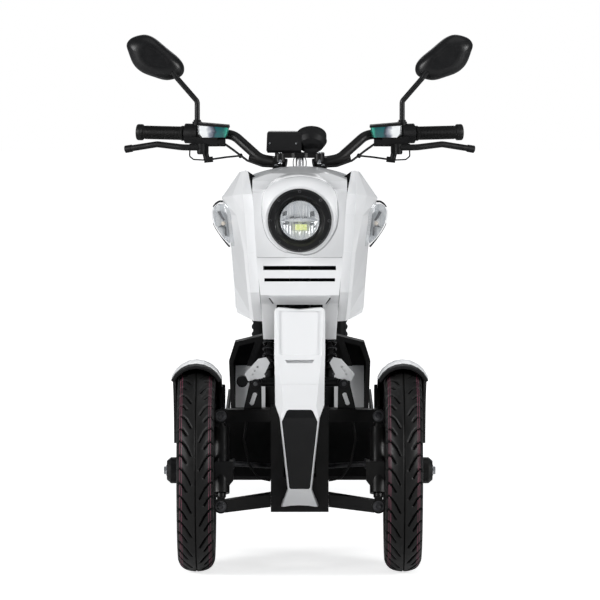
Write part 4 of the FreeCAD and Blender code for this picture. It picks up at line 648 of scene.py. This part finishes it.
def headlight():
    """A domed glass over a fluted reflector with bar, dark marks and lit strips, and the bezel's screws."""
    glass = Shape()
    glass.lathe([(45.0, -30.0), (45.0, -46.5), (44.0, -48.0), (38.0, -49.8), (30.0, -51.3), (20.0, -52.4),
                 (10.0, -52.9), (1.0, -53.0), (1.0, -51.4), (10.0, -51.3), (20.0, -50.8), (30.0, -49.7),
                 (38.0, -48.2), (43.0, -46.4), (43.4, -45.0), (43.4, -30.0)],
                at(0, 0, LAMP_Z), (0, 1, 0), 72, "join")
    piece("headlight_glass", glass, "chassis", "clear_lens", ("headlight_lens",))
    rings = []
    for k in range(26):
        radius = 0.6 + 42.4 * k / 25
        ring = []
        for a in around(120):
            x, z = radius * math.cos(a), radius * math.sin(a)
            flute = 1.3 * abs(math.sin(math.pi * x / 6.4)) if k < 24 and abs(z) > 4 else 0.0
            ring.append(lamp_point(x, z, -32.0 - 11.0 * (radius / BOWL_RADIUS) ** 2 - flute))
        rings.append(ring)
    for radius, y in ((BOWL_RADIUS, -29.0), (0.6, -28.0)):
        rings.append([lamp_point(radius * math.cos(a), radius * math.sin(a), y) for a in around(120)])
    bowl = Shape().rings(rings)
    piece("headlight_reflector", bowl, "chassis", "reflector", crease=50, finishes=[LAMP_SILVER])
    rings = []
    for k in range(25):
        x = -41.0 + 82.0 * k / 24
        thick = 1.2 + 3.6 * (1 - (x / BOWL_RADIUS) ** 2)
        rings.append([lamp_point(x, 0.4 + thick * math.sin(a), -39.5 - thick * 0.9 * math.cos(a))
                      for a in around(14)])
    bar = Shape().rings(rings)
    piece("headlight_bar", bar, "chassis", "reflector", crease=60, finishes=[LAMP_SILVER])
    vanes = Shape()
    for x, z, w, h in LAMP_VANES:
        for side in range(3):
            cx = x + (side - 1) * w / 3
            vanes.plate([(cx + sx * w / 8, LAMP_Z + (z + sz * h / 2 + side - 1)) for sx, sz in SQUARE],
                        -42.5, -36.0)
    piece("headlight_vanes", vanes, "chassis", "black_plastic", finishes=[BLACK_SATIN])
    chips = Shape()
    for x in (-6.0, 3.0, 12.0):
        chips.rings([[lamp_point(x + sx * w, z0, y) for sx, z0 in ((-1, -21), (1, -21), (1, -9), (-1, -9))]
                     for w, y in ((3.9, -36.0), (3.9, -42.0), (3.0, -43.4))])
    piece("headlight_strips", chips, "chassis", "reflector", finishes=[LED_YELLOW])
    screws = Shape()
    for a in around(8):
        screws.socket(lamp_point(64.5 * math.cos(a), 64.5 * math.sin(a), -55.2), (0, -1, 0), 3.4, 2.4)
    piece("bezel_screws", screws, "chassis", "bright_steel", finishes=[DARK_STEEL])


# Height and outer edge of the crescent, the outlines of the dark shapes in it, and its upper edge
SIGNAL_LEVELS = (
    (709.0, 162.0), (722.0, 173.0), (737.0, 184.0), (752.0, 192.5), (768.0, 197.5), (784.0, 198.8),
    (795.0, 194.0), (802.0, 187.0),
)
SIGNAL_VANES = (
    ((183.5, 782.0), (177.5, 784.6), (172.3, 773.4), (166.7, 764.0), (170.5, 763.1), (176.6, 769.6)),
    ((182.6, 747.4), (177.5, 751.9), (168.1, 752.8), (166.7, 749.4), (171.4, 749.7), (177.5, 749.3)),
    ((169.0, 749.4), (164.8, 749.6), (163.4, 730.5), (166.7, 728.7)),
)
SIGNAL_TOP = (
    (194.6, 203.0, 793.6), (190.4, 203.0, 798.8), (186.2, 203.0, 802.4), (180.4, 203.0, 805.8),
    (174.0, 202.0, 806.2), (166.0, 201.0, 806.2),
)


def turn_signals():
    """The bright dish, its dark shapes, the bulb and the dark edges of each clear crescent."""
    dish, vanes, bulb, edge = Shape(), Shape(), Shape(), Shape()
    rows = []
    for z, reach in SIGNAL_LEVELS:
        inner = 156.0 if z < 780 else 168.0
        row = []
        for k in range(13):
            t = k / 12
            x = inner + (reach - 3.5 - inner) * t
            y = 208.0 - 5.0 * t - 0.7 * abs(math.sin(4 * math.pi * t))
            row.append(at(x, y, z + (3 if z < 720 else -2 if z > 800 else 0)))
        rows.append(row)
    dish.sheet(rows, 1.6)
    piece("signal_dishes", dish.both_sides(), "chassis", "reflector", crease=50, finishes=[LAMP_SILVER])
    for outline in SIGNAL_VANES:
        vanes.plate(outline, 196.0, 204.0)
    piece("signal_vanes", vanes.both_sides(), "chassis", "reflector", finishes=[DARK_STEEL])
    profile = [(3.2, -8), (3.4, 0), (5.2, 4), (5.4, 9), (4.4, 13), (2.0, 15)]
    bulb.lathe(profile, at(171, 204, 757), (0, -1, 0), 24)
    piece("signal_bulbs", bulb.both_sides(), "chassis", "clear_lens", finishes=[AMBER_GLASS])
    line = smooth_line([at(*place) for place in SIGNAL_TOP], 24)
    edge.tube(line, [1.2 + 1.1 * min(1.0, k / 8) for k in range(24)], 8)
    low = [(reach - 0.2, z) for z, reach in SIGNAL_LEVELS[:4]]
    line = smooth_line([at(x, 203, z) for x, z in [(157.0, 704.0)] + low + [(194.0, 757.0)]], 40)
    edge.tube(line, [2.2 - 1.5 * min(1.0, k / 22) for k in range(40)], 8)
    piece("signal_edges", edge.both_sides(), "chassis", "black_plastic", finishes=[BLACK_SATIN])


# Nose trim


def nose_trim():
    """The chin's flanks below the shield, and black plates between the nose and the shoulders: painted
    shade in the gaps there.
    """
    flank, wall = Shape(), Shape()
    rows = []
    for z, y, outer in ((592.0, 24.0, 86.0), (583.0, 33.0, 85.4), (560.0, 48.5, 84.0), (530.0, 68.5, 82.2),
                        (507.0, 84.0, 81.0)):
        section = ((52, 2.2), (52, 0), (outer - 3, 0), (outer, 2.5), (outer, 14), (outer - 2, 14),
                   (outer - 2, 4), (outer - 4, 2.2))
        rows.append([at(x, y + back, z) for x, back in section])
    flank.rings(rows)
    piece("chin_flanks", flank.both_sides(), "chassis", "white_panel")
    # Black plates in the gap beside the nose: painted shade
    outline = [(115.6, 880.0), (99.5, 868.5), (101.0, 838.0), (107.5, 838.0)]
    wall.plate(outline, 116.0, 119.0)
    piece("shoulder_gap_painted_shade", wall.both_sides(), "chassis", "black_plastic", finishes=[BLACK_SATIN])


# Across and up where the camera's rays cross the plane of the front axle, read from the photograph
HOOD_EDGE = (
    (-79.7, 838.9), (-83.0, 816.9), (-82.8, 781.6), (-73.2, 745.1), (-51.1, 718.6), (-25.8, 706.5),
    (6.4, 702.1), (33.7, 706.9), (55.8, 721.9), (72.3, 744.0), (82.2, 766.1), (85.7, 798.1), (79.9, 836.7),
    (64.5, 857.7), (40.3, 869.3), (3.5, 874.4), (-39.0, 868.9), (-65.4, 857.7),
)
SHIELD_LINE = ((-93.5, 697.0), (-47.8, 697.0), (0.7, 697.0), (49.2, 697.0), (93.5, 697.0))


def shield_seams_and_painted_shadow():
    """The edge where the lamp's hood leaves the shield, its grey tube thickened at the lower right into a
    painted shadow of the hood, and the line below the lamp.
    """
    tree = BVHTree.FromObject(frame["nodes"]["nose_shield"], bpy.context.evaluated_depsgraph_get())
    look = Vector((0.0, math.cos(VIEW_ELEVATION), -math.sin(VIEW_ELEVATION)))
    seams = Shape()
    for places, count, closed in ((HOOD_EDGE, 121, True), (SHIELD_LINE, 40, False)):
        flat = smooth_line([at(x, 0, z) for x, z in places + (places[:1] if closed else ())], count)
        line = [tree.ray_cast(p - look * 0.4, look)[0] for p in flat]
        # The hood's edge grows thicker towards the lower right: a painted shadow of the hood
        low = [min(1.0, max(0.0, (p.x - p.z + 0.75) * 12.0)) if closed else 0.2 for p in line]
        seams.tube(line, [0.55 + 1.1 * k for k in low], 8)
    piece("shield_seams_and_painted_shadow", seams, "chassis", "white_panel", finishes=[GREY_STEEL])


# Bolts and small metal


def kingpin_y(z):
    """Where the raked kingpin stands, front to rear, at height z."""
    return (z - AXLE_Z) * math.tan(RAKE)


def around_x(x, y, z, radius, count, first=0.0):
    """Places on a circle about the X axis."""
    return [at(x, y + radius * math.sin(a), z + radius * math.cos(a)) for a in around(count, first)]


# Where the lock towers are pinned
TOWER_PIN = (98.0, 416.0)
BOSS_HALF = 13.4


def fasteners():
    """Bolts, nuts and screws, and the two cables on the steering stem."""
    arms, towers, caps = Shape(), Shape(), Shape()
    for z in (148.0, 342.0):
        arms.bolt(at(KINGPIN_X, kingpin_y(z) - BOSS_HALF, z), (0, -1, 0), 17.0, 6.0)
        arms.bolt(at(KINGPIN_X, kingpin_y(z) + BOSS_HALF, z), (0, 1, 0), 15.0, 6.0)
    arms.socket(at(75, 9.8, 437), (0, -1, 0), 3.2, 2.0)
    piece("arm_bolts", arms.both_sides(), "chassis", "bright_steel", finishes=[DARK_STEEL])
    pin_x, pin_z = TOWER_PIN
    profile = [(9.7, 0.2), (9.7, 12.0), (8.4, 13.6), (5.0, 13.6), (4.4, 10.0)]
    towers.lathe(profile, at(pin_x, 17.6, pin_z), (0, -1, 0), 36)
    piece("tower_caps", towers.both_sides(), "chassis", "black_plastic", finishes=[BLACK_SATIN])
    caps.bolt(at(pin_x, 5.4, pin_z), (0, -1, 0), 7.0, 3.0)
    piece("tower_bolts", caps.both_sides(), "chassis", "bright_steel", finishes=[DARK_STEEL])
    for side, name in ((1, "left"), (-1, "right")):
        hub, disc, clamp = Shape(), Shape(), Shape()
        hub.bolt(at(294 * side, 0, AXLE_Z), (side, 0, 0), 17.0, 6.5)
        piece("hub_nut_" + name, hub, "front_wheel_" + name, "bright_steel")
        for place in around_x(202 * side, 0, AXLE_Z, 68.0, 6):
            disc.socket(place, (-side, 0, 0), 4.2, 2.2)
        for place in around_x(285.2 * side, 0, AXLE_Z, 23.0, 5, 0.3):
            disc.lathe([(2.6, 0.0), (2.6, 4.0), (1.4, 5.0)], place, (side, 0, 0), 12)
        piece("wheel_bolts_" + name, disc, "front_wheel_" + name, "bright_steel", finishes=[DARK_STEEL])
        for y, z in ((47.0, 300.0), (72.0, 283.0)):
            clamp.socket(at(188 * side, y, z), (-side, 0, 0), 5.0, 4.0)
        piece("caliper_bolts_" + name, clamp, "knuckle_" + name, "bright_steel")
    motor = Shape()
    for side in (-1, 1):
        for place in around_x(38.0 * side, WHEELBASE, REAR_AXLE_Z, 80.0, 8, 0.2):
            motor.socket(place, (side, 0, 0), 4.6, 3.2)
    piece("motor_bolts", motor, "rear_wheel", "bright_steel", finishes=[DARK_STEEL])
    bar = Shape()
    for x in (-44, 44):
        bar.socket(at(x, BAR_Y - 14, 910.0), (0, 0, 1), 5.5, 3.0)
        bar.socket(at(x, BAR_Y - 14, 889.2), (0, 0, -1), 5.5, 3.0)
        bar.socket(at(x, BAR_Y - 25, 893.0), (0, -1, 0), 3.6, 2.4)
        bar.socket(at(x * 1.2, BAR_Y - 18, 882.0), (0, -1, 0), 4.0, 2.6)
    for x, z in ((-68.0, 933.0), (-8.0, 933.0)):
        bar.socket(at(x, BAR_Y - 24.4, z), (0, -1, 0), 2.0, 1.2)
    piece("bar_bolts", bar, "steering", "bright_steel")
    cable = Shape()
    for side in (-1, 1):
        places = ((11, -12, 902), (14.5, -13, 893), (14, -14, 880), (11, -12, 868))
        line = smooth_line([at(side * x, BAR_Y + y, z) for x, y, z in places], 14)
        cable.tube(line, 1.1, 8)
    piece("stem_cables", cable, "steering", "black_plastic", finishes=[BLACK_SATIN])


# Handlebar details

# Where the straight outer part of the bar starts and ends
BAR_INNER = (150.0, 320.0, 949.0)
BAR_OUTER = (365.0, 378.0, 951.0)
MIRROR_OUTLINE = (
    (262, 1092), (268, 1080), (283, 1073), (302, 1070), (330, 1077), (356, 1087), (376, 1105),
    (389, 1136), (392, 1150), (384, 1163), (366, 1171), (350, 1173), (330, 1166), (300, 1142), (272, 1118),
)
MIRROR_MIDDLE = (328, 1121)
DIAL_TILT = math.radians(42)


def on_bar(x):
    """The place on the outer part of the bar that is x from the middle."""
    t = (x - BAR_INNER[0]) / (BAR_OUTER[0] - BAR_INNER[0])
    y, z = (low + (high - low) * t for low, high in zip(BAR_INNER[1:], BAR_OUTER[1:]))
    return at(x, y, z)


def grips():
    """Rubber sleeves with their rings, turned about the bar."""
    shape = Shape()
    start, end = on_bar(262.0), on_bar(368.0)
    axis, length = (end - start).normalized(), (end - start).length / MM
    profile = [(11.2, 0.0), (16.6, 0.0), (17.2, 1.5), (17.2, 5.0), (15.2, 7.0)]
    k = 8.0
    while k < length - 18.0:
        profile += [(15.5, k), (15.5, k + 1.5), (14.6, k + 2.0), (14.6, k + 2.9)]
        k += 3.4
    profile += [(15.4, length - 15), (18.3, length - 12), (18.5, length - 9), (18.5, length - 2),
                (17.6, length), (6.0, length), (5.0, length - 2.0)]
    shape.lathe(profile, start, axis, 40).both_sides()
    piece("grip_sleeves", shape, "steering", "grip_rubber", ("grips",))


def reservoirs():
    """The clear bodies of the brake fluid reservoirs, coloured white to green by a painted reflection."""
    shape = Shape()
    levels = ((165.4, 222.6, 299.2, 943.6, 943.6), (162.3, 228.7, 296.3, 952.0, 952.0),
              (159.4, 229.7, 295.3, 965.8, 970.8))
    rings = []
    for low_x, high_x, front, z_in, z_out in levels:
        rings.append([at(low_x, 330, z_in), at(low_x, front + 3, z_in), at(low_x + 3, front, z_in),
                      at(high_x - 3, front, z_out), at(high_x, front + 3, z_out), at(high_x, 330, z_out)])
    shape.sheet(rings, 0.6)
    piece("reservoir_windows", shape.both_sides(), "steering", "clear_lens", finishes=[RESERVOIR_PAINTED_REFLECTION])


def mirror_glasses():
    """The glasses on the mirrors' rear faces."""
    mid_x, mid_z = MIRROR_MIDDLE
    outline = MIRROR_OUTLINE + MIRROR_OUTLINE[:1]
    rings = []
    for scale, y in ((0.93, 365.5), (0.93, 366.8), (0.915, 367.4)):
        ring = [at(mid_x + (x - mid_x) * scale, y, mid_z + (z - mid_z) * scale) for x, z in outline]
        rings.append(smooth_line(ring, 61)[:-1])
    shape = Shape().rings(rings).both_sides()
    piece("mirror_glasses", shape, "steering", "reflector")


def dial():
    """The dial's face with its tick marks, a chrome crescent in front, drawn only at the lower right and
    tapered as a painted highlight on the chrome edge, and the screen on the box.
    """
    tilt = Vector((0.0, math.sin(DIAL_TILT), math.cos(DIAL_TILT)))
    up = Vector((0.0, math.cos(DIAL_TILT), -math.sin(DIAL_TILT)))
    centre = at(26.0, BAR_Y, 941.0)
    face, ticks, edge, screen = Shape(), Shape(), Shape(), Shape()
    face.lathe([(28.0, 12.6), (28.0, 13.6), (27.0, 14.0)], centre, tilt, 48)
    piece("dial_glass", face, "steering", "black_panel")
    for k in range(25):
        a = math.radians(-30 + 240 * k / 24)
        out = Vector((-math.cos(a), 0, 0)) + up * -math.sin(a)
        side = out.cross(tilt).normalized()
        long = 4.0 if k % 4 == 0 else 2.2
        places = ((24.5 - long, -0.45), (24.5 - long, 0.45), (24.5, 0.45), (24.5, -0.45))
        corners = [centre + (out * r + side * beside) * MM for r, beside in places]
        ticks.rings([[p + tilt * h * MM for p in corners] for h in (13.9, 14.3)])
    piece("dial_ticks", ticks, "steering", "white_panel")
    # The real chrome edge, drawn only where it glints and tapered at both ends: a painted highlight
    arc = []
    for k in range(14):
        a = math.radians(-62 + 70 * k / 13)
        arc.append(centre + (Vector((math.cos(a), 0, 0)) - up * math.sin(a)) * 34.6 * MM - tilt * 3.0 * MM)
    edge.tube(arc, [0.4 + 1.1 * math.sin(math.pi * k / 13) for k in range(14)], 8)
    piece("dial_edge_painted_highlight", edge, "steering", "reflector")
    rings = []
    for grow, z in ((0.0, 957.4), (0.0, 958.6), (-1.0, 959.0)):
        rings.append([at(-36 + sx * (31 + grow), BAR_Y + sy * (15 + grow), z) for sx, sy in SQUARE])
    screen.rings(rings)
    piece("box_screen", screen, "steering", "black_panel")


# Saddle

# Height and half width against the distance ahead of the rear axle, then the seams' places on that scale
SEAT_TOP = (
    (668, 736), (660, 742), (630, 750), (410, 746), (372, 753), (340, 768), (300, 788), (270, 793),
    (30, 797), (0, 792), (-26, 778), (-35, 750),
)
SEAT_HALF = ((676, 62), (640, 84), (570, 109), (290, 113), (-40, 89))
SEAT_SEAMS = (375.0, 232.0, 150.0, 68.0)
SEAT_FRONT, SEAT_REAR, SEAT_ROUND = 676.0, -44.0, 26.0
SEAT_LOW = 705.5
SEAT_HINGE = (610.0, 692.0)
SEAM_HALF = 4.2
PUFF_PRESSURE = 4.0
PIPING_POINTS = 150
# These four are in metres
VOXEL = 0.0062
PUFF_LIMIT = 0.004
SEAM_DEEP = 0.0032
STITCH_DROP = 0.0058


def seat_half(ahead):
    return float(np.interp(-ahead, [-a for a, w in SEAT_HALF], [w for a, w in SEAT_HALF]))


def seat_top(ahead):
    return float(np.interp(-ahead, [-a for a, z in SEAT_TOP], [z for a, z in SEAT_TOP]))


def seam_bend(x):
    """How far ahead of its middle a seam runs at x."""
    return 14.0 * (x / 110.0) ** 2


def puff(obj, cap, pressure, frames=20):
    """Cloth under pressure rounds the piece; no point moves further than cap."""
    rest = [v.co.copy() for v in obj.data.vertices]
    held = obj.vertex_groups.new(name="held")
    held.add([v.index for v in obj.data.vertices if v.co.z < (SEAT_LOW + 6.0) * MM], 1.0, "REPLACE")
    cloth = obj.modifiers.new("cloth", "CLOTH")
    cloth.settings.use_pressure = True
    cloth.settings.uniform_pressure_force = pressure
    cloth.settings.effector_weights.gravity = 0.0
    cloth.settings.vertex_group_mass = "held"
    cloth.point_cache.frame_end = frames
    for frame_number in range(1, frames + 1):
        bpy.context.scene.frame_set(frame_number)
    bake_modifiers(obj)
    bpy.context.scene.frame_set(1)
    for vertex, old in zip(obj.data.vertices, rest):
        shift = vertex.co - old
        if shift.length > cap:
            vertex.co = old + shift * (cap / shift.length)


def saddle():
    """The two-level saddle: a padded cover with sewn channels, piping and stitches, on its pan."""
    rings = []
    stations = [668, 662, 650, 630] + list(range(600, 0, -25)) + [0, -16, -28, -35]
    for ahead in stations:
        end = min(1.0, (SEAT_FRONT - ahead) / SEAT_ROUND, (ahead - SEAT_REAR) / SEAT_ROUND) ** 0.5
        half, top = seat_half(ahead) * (0.72 + 0.28 * end), seat_top(ahead)
        middle, high = (top + SEAT_LOW) / 2, (top - SEAT_LOW) / 2
        ring = []
        for a in around(44):
            c, s = math.cos(a), math.sin(a)
            x = half * math.copysign(abs(c) ** 0.42, c)
            z = middle + high * math.copysign(abs(s) ** 0.5, s)
            crown = -9.0 * (x / half) ** 2 if s > 0 else 0.0
            waist = 1.0 - 0.05 * (1.0 - abs(s))
            ring.append(at(x * waist, WHEELBASE - ahead, z + crown * s))
        rings.append(ring)
    body = Shape().rings(rings)
    cover = piece("seat_cover", body, "seat", "seat_cover", ("seat",), 70.0)
    remesh = cover.modifiers.new("even", "REMESH")
    remesh.mode = "VOXEL"
    remesh.voxel_size = VOXEL
    bake_modifiers(cover)
    puff(cover, PUFF_LIMIT, PUFF_PRESSURE)
    smooth = cover.modifiers.new("smooth", "SUBSURF")
    smooth.levels = smooth.render_levels = 1
    bake_modifiers(cover)
    for vertex in cover.data.vertices:
        ahead = WHEELBASE - (vertex.co.y / MM + AXLE_SHIFT)
        bend = seam_bend(vertex.co.x / MM)
        dip = max(math.exp(-(((ahead - seam - bend) / SEAM_HALF) ** 2)) for seam in SEAT_SEAMS)
        if vertex.co.z > (SEAT_LOW + 22.0) * MM:
            vertex.co.z -= SEAM_DEEP * dip
    cover.data.materials.clear()
    cover.data.materials.append(MATERIALS["seat_cover"])
    cover.data.shade_smooth()
    tree = BVHTree.FromObject(cover, bpy.context.evaluated_depsgraph_get())

    piping, stitches = Shape(), Shape()

    def on_cover(point, proud):
        place, normal = tree.find_nearest(point)[:2]
        return place + normal * proud * MM

    def stitch(point, half):
        middle = on_cover(point, 0.25)
        stitches.tube([middle - half, middle, middle + half], [0.3, 0.55, 0.3], 6)

    for side in (-1, 1):
        line = []
        for ahead in [655] + list(range(635, -20, -15)):
            edge = at(side * seat_half(ahead) * 1.05, WHEELBASE - ahead, seat_top(ahead) - 22.0)
            line.append(on_cover(edge, 0.3))
        even = smooth_line(line, PIPING_POINTS)
        piping.tube(even, 1.9, 8)
        for k in range(2, PIPING_POINTS - 4):
            step = (even[k + 1] - even[k]).normalized()
            stitch(even[k] - Vector((0, 0, STITCH_DROP)), step * 0.0016)
    for seam in SEAT_SEAMS:
        for offset in (-5.5, 5.5):
            for k in range(-23, 24):
                x = k * 4.0
                ahead = seam + seam_bend(x) + offset
                if abs(x) <= seat_half(ahead) - 12.0:
                    stitch(at(x, WHEELBASE - ahead, seat_top(ahead) + 12.0), Vector((0.0014, 0, 0)))
    piece("seat_piping", piping, "seat", "seat_cover")
    piece("seat_stitches", stitches, "seat", "seat_cover", finishes=[THREAD])
    pan = Shape()
    rings = []
    for inset, z in ((3.0, 700.4), (0.5, 702.0), (0.5, 707.0), (4.0, 709.0)):
        right = [(seat_half(ahead) - inset, WHEELBASE - ahead) for ahead in range(664, -31, -22)]
        rings.append([at(x, y, z) for x, y in right] + [at(-x, y, z) for x, y in reversed(right)])
    pan.rings(rings)
    hinge_y, hinge_z = SEAT_HINGE
    for x in (-58.3, 58.3):
        ear = Vector((0.006, 0, 0))
        place = at(x, hinge_y, hinge_z) - ear
        pan.lathe([(4.1, 0), (8, 0), (8, 12), (4.1, 12)], place, (1, 0, 0), 32, "join")
        pan.rings([[at(x + sx * 6, hinge_y + sy * 8, z) for sx, sy in SQUARE] for z in (696.5, 701.0)])
    piece("seat_pan", pan, "seat", "black_plastic")


# The foot of the tail lamp's face, and how far it leans back over its height
TAIL_FOOT = (1330.0, 614.0)
TAIL_LEAN = (90.0, 86.0)


def rear_lamp():
    """Three rows of red domes on the lens."""
    shape = Shape()
    for row in range(3):
        for k in range(13):
            x, z = -54.0 + 9.0 * k, 650.0 + 16.0 * row
            y = TAIL_FOOT[0] + TAIL_LEAN[0] * (z - TAIL_FOOT[1]) / TAIL_LEAN[1] + 12.5 - row * 1.2
            shape.lathe([(3.6, 0.0), (3.4, 0.9), (2.2, 1.8), (0.6, 2.2)], at(x, y, z), (0, 1, -0.8), 12)
    piece("tail_lamp_dots", shape, "chassis", "red_lens")


# Studio

# Name, place, target, size and power
LIGHTS = (
    ("top_soft", (0.5, -0.8, 3.4), (0, -0.2, 0.6), (2.4, 2.0), 11.0),
    ("front_left", (-3.5, -3.6, 2.2), (0, -0.6, 0.65), (1.2, 1.4), 68.0),
    ("front_right", (3.5, -3.4, 2.2), (0, -0.6, 0.65), (1.2, 1.4), 42.0),
    ("left_strip", (-3.0, -1.9, 1.4), (0, -0.5, 0.6), (0.6, 1.4), 60.0),
    ("right_strip", (3.0, -1.9, 1.4), (0, -0.5, 0.6), (0.6, 1.4), 54.0),
    ("back_soft", (0.0, 4.0, 2.4), (0, 0.4, 0.5), (3.0, 2.0), 22.0),
)


def area_light(name, place, target, size, power):
    data = bpy.data.lights.new(name, "AREA")
    data.shape = "RECTANGLE"
    data.size, data.size_y = size
    data.energy = power
    light = bpy.data.objects.new(name, data)
    bpy.context.scene.collection.objects.link(light)
    light.location = place
    light.rotation_euler = (Vector(target) - Vector(place)).to_track_quat("-Z", "Y").to_euler()
    light.visible_camera = False


def studio():
    """A white background for the camera, a faint sky for the model, and six soft lights."""
    world = bpy.data.worlds.new("studio")
    bpy.context.scene.world = world
    world.use_nodes = True
    nodes, links = world.node_tree.nodes, world.node_tree.links
    background = nodes["Background"]
    shown = nodes.new("ShaderNodeBackground")
    shown.inputs["Color"].default_value = (1.0, 1.0, 1.0, 1.0)
    background.inputs["Color"].default_value = (0.8, 0.85, 0.9, 1.0)
    background.inputs["Strength"].default_value = 0.17
    mix = nodes.new("ShaderNodeMixShader")
    path = nodes.new("ShaderNodeLightPath")
    links.new(path.outputs["Is Camera Ray"], mix.inputs[0])
    links.new(background.outputs[0], mix.inputs[1])
    links.new(shown.outputs[0], mix.inputs[2])
    links.new(mix.outputs[0], nodes["World Output"].inputs["Surface"])
    bpy.context.scene.view_settings.view_transform = "Standard"
    for light in LIGHTS:
        area_light(*light)


def floor():
    """White ground, lit for the camera so that it fades into the background."""
    mesh = bpy.data.meshes.new("floor")
    reach = 14.0
    corners = [(-reach, -reach, 0), (reach, -reach, 0), (reach, reach, 0), (-reach, reach, 0)]
    mesh.from_pydata(corners, [], [(0, 1, 2, 3)])
    obj = bpy.data.objects.new("floor", mesh)
    bpy.context.scene.collection.objects.link(obj)
    s = Surface("floor", (0.72, 0.72, 0.72), 0.9)
    s.set(Emission_Color=(1.0, 1.0, 1.0, 1.0))
    seen = s.add("ShaderNodeLightPath").outputs["Is Camera Ray"]
    far = s.add("ShaderNodeVectorMath", operation="LENGTH")
    s.links.new(s.coords, far.inputs[0])
    glow = s.compute("MULTIPLY", seen, s.ramp(far.outputs["Value"], 0.72, 1.0, 0.9, 3.0))
    s.links.new(glow, s.shader.inputs["Emission Strength"])
    mesh.materials.append(s.material)


set_camera()
dress_frame()
tyre("road_tyre_front_left", "front_wheel_left", WHEEL_X, 0.0, AXLE_Z, 82.0, 74.0, 26.0)
tyre("road_tyre_front_right", "front_wheel_right", -WHEEL_X, 0.0, AXLE_Z, 82.0, 74.0, 26.0)
tyre("road_tyre_rear", "rear_wheel", 0.0, WHEELBASE, REAR_AXLE_Z, 100.0, 79.0, 37.0)
shock_absorbers()
headlight()
turn_signals()
nose_trim()
shield_seams_and_painted_shadow()
fasteners()
grips()
reservoirs()
mirror_glasses()
dial()
saddle()
rear_lamp()
floor()
studio()
